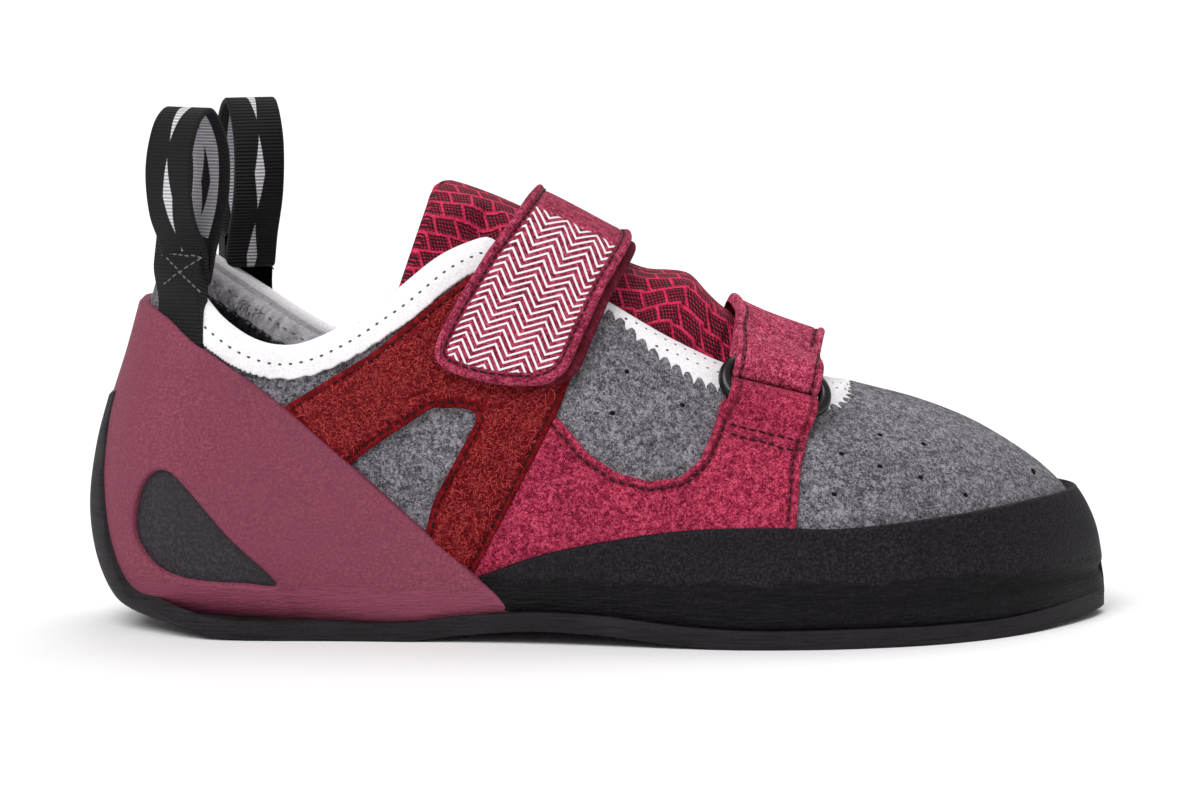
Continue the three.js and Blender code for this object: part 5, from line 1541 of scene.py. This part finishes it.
@dataclass
class SidePanels(Assembly):
    """Microsuede panels on both sides and the loop patch that the strap closes on."""

    flange: float = 2.4
    lateral_sheet: Sheet | None = None

    def build(self) -> None:
        """Lateral panel, medial panel, and patch with its strands and stitching."""
        self.lateral()
        self.medial()
        self.patch()

    def lateral(self) -> None:
        """The outer panel with its round cut-out, rolled edge and stitching."""
        grid = self.last.grid(spaced((11.4, 18.4, 0.05)), spaced((0.06, 1.0, 0.007)))
        outer = grid.raised(PANEL_TOP)
        shape = [[0.43, 0.5], *SIDE_PANEL[1:10], [0.7035, 0.45], [0.702, 0.421], [0.693, 0.358], [0.681, 0.1],
                 [0.33, -0.05]]
        depth = Outline(shape).depth(outer)
        rand = Outline(TOE_RAND_TOP, lid=((1.06, -0.3), (0.36, -0.3), (0.36, 0.09))).depth(outer)
        keep = np.minimum(depth, 3.2 - rand)
        patch = Outline(LOOP_PATCH).depth(outer)
        roll = 0.45 * np.exp(-(((depth - 1.0) / 0.8) ** 2)) * smooth(-patch) - 0.6 * smooth(patch + 0.5)
        panel = Sheet("side_panel_microsuede", grid, PANEL_TOP - 0.2 + roll, keep, rounded_edge(0.7, 1.6), Look.PANEL)
        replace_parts(panel.build(), "side_panel")
        shown = np.minimum(-patch - 0.5, -rand - 1.6)
        Stitch(1.7, 2.3, 0.27, 0.0).sew("side_panel_stitches", panel.lines(2.0, shown), Look.THREAD_DARK)
        tab = [seam(grid, outer, Side.LATERAL, (0.628, 0.44 - drop), (0.691, 0.403 - drop)) for drop in (0.0, 0.021)]
        Stitch(1.7, 2.2, 0.28, -0.05).sew("tab_stitches", tab, Look.THREAD_DARK)
        self.lateral_sheet = panel

    def medial(self) -> None:
        """The inner panel, finished plainly."""
        grid = self.last.grid(spaced((10.4, 19.2, 0.06)), spaced((1.02, 1.94, 0.009)))
        outer = grid.raised(PANEL_TOP)
        rand = Outline(TOE_RAND_TOP, lid=((1.06, -0.3), (0.36, -0.3), (0.36, 0.09))).depth(outer)
        keep = np.minimum(Outline(MEDIAL_PANEL).depth(outer), 3.2 - rand)
        panel = Sheet("medial_panel_microsuede", grid, PANEL_TOP - 0.2, keep, rounded_edge(0.7, 1.6), Look.PANEL)
        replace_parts(panel.build(), "medial_panel")
        Stitch(1.7, 2.3, 0.27, 0.0).sew("medial_panel_stitches", panel.lines(2.0, -rand - 1.6), Look.THREAD_DARK)

    def patch(self) -> None:
        """The brushed loop patch with a cut-out, a stitched flange and standing strands."""
        grid = self.last.grid(spaced((7.2, 15.2, 0.055)), spaced((0.06, 1.0, 0.007)))
        outer = grid.raised(PATCH_TOP)
        keep = np.minimum(Outline(LOOP_PATCH).depth(outer), -Outline(PATCH_HOLE, curved=True).depth(outer))
        ankle, throat = opening_depths(grid.points)
        keep = np.minimum(keep, -np.maximum(ankle, throat) - 3.5)
        rng = np.random.default_rng(7)
        tufts = 0.22 * rng.random(keep.shape)
        height = PATCH_TOP - 0.5 + 0.55 * smooth((keep - self.flange + 0.5) / 1.0) + tufts * smooth(keep - self.flange)
        patch = Sheet("loop_patch_pile", grid, height, keep, rounded_edge(0.6, 1.8), Look.PILE)
        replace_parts(patch.build(), "loop_patch")
        sling = Outline(SLING_TOP, lid=((-0.06, -0.1),)).depth(outer)
        rows = patch.lines(1.4, -sling - 0.5)
        Stitch(1.7, 2.3, 0.27, -0.08).sew("loop_patch_stitches", rows, Look.THREAD_RED)
        self.strands(patch, rng)

    def strands(self, patch: Sheet, rng: np.random.Generator, count: int = 12000) -> None:
        """Fine standing loops of the pile, as narrow bent ribbons."""
        grid, surface = patch.grid, patch.grid.raised(patch.height)
        inside = np.argwhere(patch.keep > self.flange - 0.3)
        inside = inside[(inside < np.array(patch.keep.shape) - 2).all(axis=1)]
        picked = inside[rng.integers(len(inside), size=count)] + rng.random((count, 2))
        centres = grid.sample(surface, picked)
        normals = unit(grid.sample(grid.normals, picked))
        heading = unit(np.cross(normals, rng.normal(size=(count, 3))))
        length = rng.uniform(0.7, 1.5, (count, 1))
        lift = rng.uniform(0.18, 0.5, (count, 1))
        side = unit(np.cross(normals, heading)) * 0.08
        sway = unit(rng.normal(size=(count, 3))) * 0.25
        steps = [(-0.5, 0.0), (-0.2, 0.85), (0.2, 0.9), (0.5, 0.1)]
        rails = []
        for along, up in steps:
            spine = centres + heading * length * along + normals * lift * up + sway * up
            rails += [spine - side, spine + side]
        points = np.stack(rails, axis=1)
        faces = [[k * 8 + 2 * s, k * 8 + 2 * s + 1, k * 8 + 2 * s + 3, k * 8 + 2 * s + 2]
                 for k in range(count) for s in range(3)]
        tint = np.repeat(rng.random(count) ** 1.7, 8)
        make_object("loop_patch_strands", points.reshape(-1, 3), faces, Look.PILE_STRANDS, values={"tint": tint})


class Instep:
    """Heights over the instep that the tongue and the straps share."""

    def __init__(self, grid: Grid) -> None:
        """Measures how far inside the opening's edge each grid point lies.

        Args:
            grid: A grid over the instep.
        """
        ankle, throat = opening_depths(grid.points)
        cut = np.maximum(ankle, throat)
        run = grid.across()
        self.grid = grid
        self.x = np.broadcast_to(grid.points[..., 0] / LAST_LENGTH + 0.5, cut.shape)
        self.girth = np.broadcast_to(1 - np.abs(1 - grid.turns)[None, :], cut.shape)
        self.medial = np.broadcast_to(grid.turns[None, :] > 1, cut.shape)
        self.inside = np.zeros(cut.shape)
        for i in range(len(grid.rows)):
            for medial in (False, True):
                picked = np.nonzero(self.medial[i] == medial)[0]
                ordered = picked[::-1] if medial else picked
                open_at = np.nonzero(cut[i, ordered] > 0)[0]
                edge = run[i, ordered[open_at[0]]] if len(open_at) else 0.0
                reach = (run[i, picked] - edge) * (-1 if medial else 1)
                self.inside[i, picked] = reach

    def shoulder(self) -> np.ndarray:
        """How much fuller padding stands beside the ridge."""
        return 1 + 0.4 * (1 - smooth((self.girth - 0.72) / 0.28))

    def tongue(self) -> np.ndarray:
        """The tongue's height over the last."""
        binding = 1.6 * (1 - smooth((self.x - 0.38) / 0.03))
        low = -UPPER_WALL - 2 * GAP - binding
        rise = soft_lookup(TONGUE_RISE, self.x, 0.012) * TONGUE_THICKNESS * self.shoulder()
        return low + (rise - low) * smooth((self.inside + 1 - 2.5 * binding) / (0.12 * BALL_WIDTH))

    def strap(self) -> np.ndarray:
        """The straps' underside over the last."""
        low = np.where(self.medial, 1.8, 2.5)
        rise = soft_lookup(STRAP_RISE, self.x, 0.02) * TONGUE_THICKNESS * self.shoulder()
        arch = low + (rise - low) * smooth((self.inside + 0.1 * BALL_WIDTH) / (0.22 * BALL_WIDTH))
        return np.maximum(arch, self.tongue() + GAP)


@dataclass
class Tongue(Assembly):
    """The padded tongue of knitted mesh."""

    def build(self) -> None:
        """The mesh face with its rolled edge, and the lining under it."""
        grid = self.last.grid(spaced((10.5, 19, 0.045)), spaced((0.46, 1.54, 0.007)))
        instep = Instep(grid)
        top = instep.tongue()
        keep = np.minimum(Outline(TONGUE_SIDE).depth(grid.raised(top)), side_x(0.72) - grid.points[..., 0])
        face = Sheet("tongue_face", grid, top, keep, rounded_edge(1.7, 2.6, 6), Look.TONGUE,
                     uv=grid.unrolled(grid.raised(top)))
        piece = face.build()
        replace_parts(piece, "tongue")
        under = np.minimum(top - 2.6, -UPPER_WALL - 2.0)
        Sheet("tongue_lining", grid, under, keep, rounded_edge(0.8, 0.9), Look.TONGUE_LINING, inward=True).build()


def joined_sides(points: np.ndarray, lateral: Table, medial: Table) -> np.ndarray:
    """Depth inside a strap whose outline differs on its two sides, eased over the ridge."""
    share = smooth((points[..., 1] + 8) / 16)
    return Outline(lateral).depth(points) * (1 - share) + Outline(medial).depth(points) * share


@dataclass
class Straps(Assembly):
    """The two hook-and-loop straps. The front one's fold round the ring is made by StrapRing."""

    ankle_wall: float = 3.6
    front_wall: float = 2.4
    front_sheet: Sheet | None = None

    def build(self) -> None:
        """Ankle strap with its lining, then the front strap."""
        self.ankle()
        self.front()

    def ankle(self) -> None:
        """The printed ankle strap: a rolled rim, a groove, a flat face, and brushed tape beneath."""
        grid = self.last.grid(spaced((10.8, 16.0, 0.04)), spaced((0.24, 1.8, 0.007)))
        instep = Instep(grid)
        under = instep.strap()
        rounded = [list(p) for p in curve(ANKLE_STRAP[3:12], False, 5)]
        lateral = [*ANKLE_STRAP[:3], *rounded, *ANKLE_STRAP[12:]]
        top = grid.raised(under + self.ankle_wall)
        keep = joined_sides(top, lateral, ANKLE_STRAP_MEDIAL)
        rim = 0.8 * np.sqrt(np.clip(1 - ((keep - 0.9) / 1.1) ** 2, 0, 1)) - 0.25 * np.exp(-(((keep - 2.2) / 0.4) ** 2))
        height = under + self.ankle_wall - 0.6 + rim
        uv = np.stack([grid.points[..., 0] - 0.56 * (grid.points[..., 2] - side_z(0.75)), grid.across()], axis=2)
        strap = Sheet("ankle_strap_face", grid, height, keep, rounded_edge(1.0, 2.2, 5), Look.PRINTED_STRAP, uv=uv)
        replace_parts(strap.build(), "ankle_strap")
        Stitch(1.7, 2.2, 0.3, 0.0).sew("ankle_strap_stitches", strap.lines(2.2), Look.THREAD_DARK)
        ahead = top - np.array([2.6, 0, 0.6])
        lining_keep = np.minimum(joined_sides(ahead, lateral, ANKLE_STRAP_MEDIAL) + 0.4, keep + 3.0)
        Sheet("ankle_strap_loop_tape", grid, under + 1.6, lining_keep, rounded_edge(0.7, 1.8), Look.STRAP_LINING).build()

    def front(self) -> None:
        """The front strap with turned edges."""
        grid = self.last.grid(spaced((15.4, 18.8, 0.035)), spaced((0.34, 1.8, 0.007)))
        instep = Instep(grid)
        under = instep.strap()
        top = grid.raised(under + self.front_wall)
        centre, _, across = ring_place(self.last)
        beyond = (top - centre) @ across - (RING_WIDTH - RING_WIRE) / 2
        keep = np.minimum(joined_sides(top, FRONT_STRAP, FRONT_STRAP_MEDIAL), beyond + 30 * (top[..., 1] > 5))
        rim = 0.7 * np.sqrt(np.clip(1 - ((keep - 0.9) / 1.1) ** 2, 0, 1)) - 0.25 * np.exp(-(((keep - 2.2) / 0.4) ** 2))
        strap = Sheet("front_strap_face", grid, under + self.front_wall - 0.4 + rim, keep, rounded_edge(1.0, 2.6, 5),
                      Look.STRAP)
        self.front_sheet = strap
        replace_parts(strap.build(), "forefoot_strap")
        Stitch(1.7, 2.2, 0.3, 0.0).sew("front_strap_stitches", strap.lines(2.2), Look.THREAD_DARK)


@dataclass
class StrapRing(Assembly):
    """The oval ring and the two folds of strap that hold it."""

    panel: Sheet
    strap: Sheet
    slack: float = 2.1

    def build(self) -> None:
        """Ring and folds."""
        centre, along, across = ring_place(self.last)
        end, straight = (RING_WIDTH - RING_WIRE) / 2, (RING_LENGTH - RING_WIDTH) / 2
        path = []
        for way in (1, -1):
            for k in range(13):
                angle = way * math.pi / 2 - k / 12 * math.pi
                path.append(centre + along * (way * straight + end * math.cos(angle)) + across * end * math.sin(angle))
        smooth_path = curve(path, True, 4)
        normal = np.cross(along, across)
        line = Line(smooth_path, np.tile(normal, (len(smooth_path), 1)), True)
        circle = [(RING_WIRE / 2 * math.cos(a), RING_WIRE / 2 * math.sin(a)) for a in
                  np.linspace(0, 2 * math.pi, 16, endpoint=False)]
        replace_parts(strip("strap_ring", line, circle, Look.RING, True), "ring")
        self.fold("ring_fold_of_panel", self.panel, centre - across * end, along, -across, (8.0, 0.1), Look.PANEL)
        self.fold("ring_fold_of_strap", self.strap, centre + across * end, along, across, (13.0, 0.65), Look.STRAP)

    def fold(self, name: str, sheet: Sheet, bar: np.ndarray, along: np.ndarray, away: np.ndarray,
             laid: tuple[float, float], look: "Look") -> None:
        """Strap that leaves its own face, turns round one bar of the ring and goes back under.

        Args:
            name: The piece's name.
            sheet: The strap or panel that it belongs to.
            bar: The middle of the bar.
            along: The bar's direction.
            away: The direction from the bar to the strap.
            laid: How far beyond the bar it leaves the strap's face, and how high its rims stand. A high rim is sewn.
            look: Its finish.
        """
        lap, ridge = laid
        surface = sheet.grid.raised(sheet.height)

        def landing(offset: float, nearer: float = 0.0) -> tuple[int, int]:
            """The point of the strap's face that lies below a place beside the bar."""
            gap = np.linalg.norm(surface - (bar + away * (lap - nearer) + along * offset), axis=2)
            return np.unravel_index(int(np.argmin(gap)), gap.shape)

        tries = [(o, landing(o)) for o in np.linspace(-15, 15, 121)]
        inside = [(o, spot) for o, spot in tries if sheet.keep[spot] > 0.15]
        low, high = inside[0][0], inside[-1][0]
        offsets = np.linspace(low, high, 44)
        starts = np.array([surface[landing(o)] for o in offsets])
        lifts = np.array([sheet.grid.normals[landing(o)] for o in offsets])
        heading = unit(np.mean([surface[landing(o, 2.5)] for o in offsets], axis=0) - starts.mean(axis=0))
        for _ in range(6):
            starts[1:-1] = (starts[:-2] + 2 * starts[1:-1] + starts[2:]) / 4
            lifts[1:-1] = unit(lifts[:-2] + 2 * lifts[1:-1] + lifts[2:])
        normal = np.cross(along, away) * (1 if np.dot(np.cross(along, away), lifts[0]) > 0 else -1)
        squeeze = (RING_LENGTH * 0.77) / (high - low)
        edge = np.minimum(offsets - low, high - offsets)
        round_off = 0.7 * (1 - np.sqrt(1 - (1 - np.clip(edge / 1.2, 0, 1)) ** 2))
        rim = ridge * (np.sqrt(np.clip(1 - ((edge - 0.9) / 1.1) ** 2, 0, 1)) - 0.3 * np.exp(-(((edge - 2.2) / 0.5) ** 2)))
        radius = RING_WIRE / 2 + 0.2 + 1.2
        rings = []
        for offset, start, lift, bite, swell in zip(offsets, starts, lifts, round_off, rim):
            middle = bar + along * (offset - (low + high) / 2) * min(1.0, squeeze)
            loops = []
            for wall in (0.0, 1.1):
                reach = radius - wall + (swell - bite if wall == 0 else 0)
                first = start - lift * (wall + 0.25 + (bite if wall == 0 else 0))
                last_point = middle + normal * reach
                pull = np.linalg.norm(last_point - first) * 0.9
                t = np.linspace(0, 1, 12)[:, None]
                lay = (first * (2 * t**3 - 3 * t**2 + 1) + heading * pull * (t**3 - 2 * t**2 + t)
                       + last_point * (3 * t**2 - 2 * t**3) - away * pull * (t**3 - t**2))
                turn = np.linspace(0.18, math.pi * 0.95, 12)[:, None]
                bulge = away * (reach + self.slack) * np.sin(turn)
                loops.append(np.vstack([lay, middle + normal * reach * np.cos(turn) - bulge]))
            rings.append(np.vstack([loops[0], loops[1][::-1]]))
        points = np.array(rings)
        count, size = points.shape[:2]
        faces = [[i * size + k, i * size + (k + 1) % size, (i + 1) * size + (k + 1) % size, (i + 1) * size + k]
                 for i in range(count - 1) for k in range(size)]
        faces += [list(range(size))[::-1], list(range((count - 1) * size, count * size))]
        make_object(name, points.reshape(-1, 3), faces, look, values={"edge": np.repeat(edge, size)})
        if ridge > 0.3:
            rows = []
            for k in (np.argmin(np.abs(offsets - low - 2.2)), np.argmin(np.abs(high - offsets - 2.2))):
                outer = points[k, :18]
                rows.append(Line(outer, unit(outer - points[k, ::-1][:18])))
            Stitch(1.7, 2.2, 0.3, 0.0).sew(name + "_stitches", rows, Look.THREAD_DARK)


@dataclass
class PullLoops(Assembly):
    """The two webbing loops at the heel, each on a stitched base."""

    samples: int = 150

    def build(self) -> None:
        """Both loops with their bases and crossed stitching."""
        self.loop("lateral", Side.LATERAL, LOOP_LATERAL, BASE_LATERAL)
        self.loop("medial", Side.MEDIAL, LOOP_MEDIAL, BASE_MEDIAL)

    def loop(self, word: str, side: Side, seat: dict[str, float], base: Table) -> None:
        """One loop: a closed path of webbing that stands on its base.

        Args:
            word: The side's name, for the pieces.
            side: The side it is sewn to.
            seat: Its foot in shares and the angle it is turned by.
            base: The outline of its base in the side view.
        """
        foot = np.array([side_x(seat["x"]), seat["y"] * BALL_WIDTH, side_z(seat["z"])])
        inward = np.array([math.cos(seat["spin"]), math.sin(seat["spin"]), 0])
        wide = np.array([-math.sin(seat["spin"]), math.cos(seat["spin"]), 0])
        path = curve([foot + (inward * d + np.array([0, 0, 1]) * h) * WEBBING_WIDTH for d, h in PULL_LOOP], True, 18)
        line = Line(path, np.zeros_like(path), True)
        tangents = line.tangents()
        out = unit(np.cross(tangents, wide))
        half, thick = WEBBING_WIDTH / 2, WEBBING_THICKNESS / 2
        shape = [(-half, -thick * 0.5), (-half + 0.4, -thick), (0, -thick), (half - 0.4, -thick), (half, -thick * 0.5),
                 (half, thick * 0.5), (half - 0.4, thick), (0, thick), (-half + 0.4, thick), (-half, thick * 0.5)]
        rings = np.stack([path + wide * a + out * b for a, b in shape], axis=1)
        count, size = rings.shape[:2]
        run = np.concatenate([[0], np.cumsum(np.linalg.norm(np.diff(path, axis=0), axis=1))])
        uv = np.stack(np.meshgrid(run, [a for a, _ in shape], indexing="ij"), axis=2).reshape(-1, 2)
        faces = [[i * size + k, i * size + (k + 1) % size, (i + 1) % count * size + (k + 1) % size,
                  (i + 1) % count * size + k] for i in range(count) for k in range(size)]
        inner = np.tile([1.0 if b < 0 else 0.0 for _, b in shape], count)
        piece = make_object(f"pull_loop_{word}_webbing", rings.reshape(-1, 3), faces, Look.WEBBING, uv,
                            {"inner": inner})
        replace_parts(piece, f"pull_loop_{word}")
        self.base(word, side, base)

    def base(self, word: str, side: Side, outline: Table) -> None:
        """The stitched end of the webbing, which goes down behind the sling."""
        turns = spaced((0.1, 1, 0.007)) if side is Side.LATERAL else spaced((1, 1.9, 0.007))
        grid = self.last.grid(spaced((0, 5.5, 0.05)), turns)
        outer = grid.raised(3.6)
        sling_line = Outline(SLING_TOP, lid=((-0.06, -0.1),)).depth(grid.raised(RAND_TOP + 0.3))
        height = 1.9 + 2.5 * smooth((-sling_line - 1.0) / 9.0)
        uv = np.stack([grid.points[..., 2], grid.points[..., 0] - side_x(0.085)], axis=2)
        base = Sheet(f"pull_loop_{word}_base", grid, height, np.minimum(Outline(outline).depth(outer + [1.3, 0, 0]),
                                                                            0.9 - sling_line),
                     rounded_edge(0.5, 4.4), Look.WEBBING_BASE, uv=uv)
        base.build()
        table = np.array(outline)
        x0, x1 = table[:, 0].min() + 0.008, table[:, 0].max() - 0.008
        surface = grid.raised(height)
        rows = [seam(grid, surface, side, *ends) for ends in
                (((x0, 0.81), (x1, 0.74)), ((x1, 0.81), (x0, 0.75)), ((x0, 0.815), (x1, 0.815)))]
        Stitch(1.5, 1.9, 0.2, 0.0).sew(f"pull_loop_{word}_stitches", rows, Look.THREAD_BLACK)


@dataclass
class Footbed(Assembly):
    """The cloth-covered board inside, seen through the collar."""

    rise: float = 5.9

    def build(self) -> None:
        """A shallow dish from heel to toe."""
        rows = spaced((7.9, 23.6, 0.2))
        sections = self.last.sections(rows)
        across = np.linspace(-1, 1, 33)
        base_x, base_z = side_x(sections[:, Column.BASE_X]), side_z(sections[:, Column.BASE_Z])
        centre = (sections[:, Column.MEDIAL] - sections[:, Column.LATERAL]) / 2 * BALL_WIDTH
        half = (sections[:, Column.MEDIAL] + sections[:, Column.LATERAL]) / 2 * BALL_WIDTH - 2.6
        edge = np.abs(across[None, :]) ** 6
        x = np.broadcast_to(base_x[:, None] + 2.5, (len(rows), len(across)))
        y = centre[:, None] + half[:, None] * across[None, :] * 0.985
        z = base_z[:, None] + self.rise + 2.2 * edge
        points = np.stack([x, y, z], axis=2).reshape(-1, 3)
        size = len(across)
        faces = [[i * size + k, (i + 1) * size + k, (i + 1) * size + k + 1, i * size + k + 1]
                 for i in range(len(rows) - 1) for k in range(size - 1)]
        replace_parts(make_object("footbed_cloth", points, faces, Look.FOOTBED), "insole")


@dataclass
class Studio:
    """White sweep, soft light from above and in front, and the camera at the photograph's angle."""

    target: tuple[float, float, float] = (-0.45, 1.15, 53.5)
    elevation: float = 7.0
    distance: float = 1100.0
    lens: float = 136.85

    def build(self) -> None:
        """Floor, world, lights and camera."""
        scene = bpy.context.scene
        scene.view_settings.view_transform = "Standard"
        self.floor()
        world = bpy.data.worlds.new("studio")
        world.use_nodes = True
        background = world.node_tree.nodes["Background"]
        background.inputs["Color"].default_value = (1.0, 1.0, 1.0, 1.0)
        background.inputs["Strength"].default_value = 0.45
        scene.world = world
        self.light("key", (-0.35, -0.6, 0.85), 40.0, 2.1)
        self.light("fill", (0.25, 0.55, 0.8), 50.0, 1.0)
        camera = bpy.data.cameras.new("camera")
        camera.lens, camera.sensor_width, camera.clip_end = self.lens, 36.0, 20.0
        holder = bpy.data.objects.new("camera", camera)
        tilt = math.radians(self.elevation)
        aim = Vector(self.target) * 0.001
        back = Vector((0, -math.cos(tilt), math.sin(tilt)))
        holder.location = aim + back * self.distance * 0.001
        holder.rotation_mode = "QUATERNION"
        holder.rotation_quaternion = (-back).to_track_quat("-Z", "Y")
        scene.collection.objects.link(holder)
        scene.camera = holder

    def floor(self) -> None:
        """A wide white floor."""
        mesh = bpy.data.meshes.new("floor")
        reach = 15.0
        mesh.from_pydata([(-reach, -reach, 0), (reach, -reach, 0), (reach, reach, 0), (-reach, reach, 0)], [],
                         [(0, 1, 2, 3)])
        material = bpy.data.materials.new("White_studio_floor")
        material.use_nodes = True
        shader = material.node_tree.nodes["Principled BSDF"]
        shader.inputs["Base Color"].default_value = (0.95, 0.95, 0.95, 1)
        shader.inputs["Roughness"].default_value = 0.9
        shader.inputs["Specular IOR Level"].default_value = 0.1
        mesh.materials.append(material)
        floor = bpy.data.objects.new("floor", mesh)
        bpy.context.scene.collection.objects.link(floor)

    def light(self, name: str, place: tuple[float, float, float], spread: float, power: float) -> None:
        """A large soft light far away, so that the whole floor is lit alike.

        Args:
            name: Its name.
            place: The direction that it shines from.
            spread: How wide it looks from the shoe, in degrees.
            power: Its strength in watts per square metre.
        """
        lamp = bpy.data.lights.new(name, "SUN")
        lamp.angle, lamp.energy = math.radians(spread), power
        holder = bpy.data.objects.new(name, lamp)
        holder.location = place
        holder.rotation_mode = "QUATERNION"
        holder.rotation_quaternion = (-Vector(place)).to_track_quat("-Z", "Y")
        bpy.context.scene.collection.objects.link(holder)


def main() -> None:
    """Builds the shoe and its studio."""
    logging.basicConfig(level=logging.INFO, format="%(message)s")
    last = Last()
    Studio().build()
    panels, straps = SidePanels(last), Straps(last)
    for assembly in (UpperShell(last), CollarBinding(last), Outsole(last), Rands(last), panels, Tongue(last), straps,
                     PullLoops(last), Footbed(last)):
        LOG.info("building %s", type(assembly).__name__)
        assembly.build()
    StrapRing(last, panels.lateral_sheet, straps.front_sheet).build()


if __name__ == "__main__":
    main()
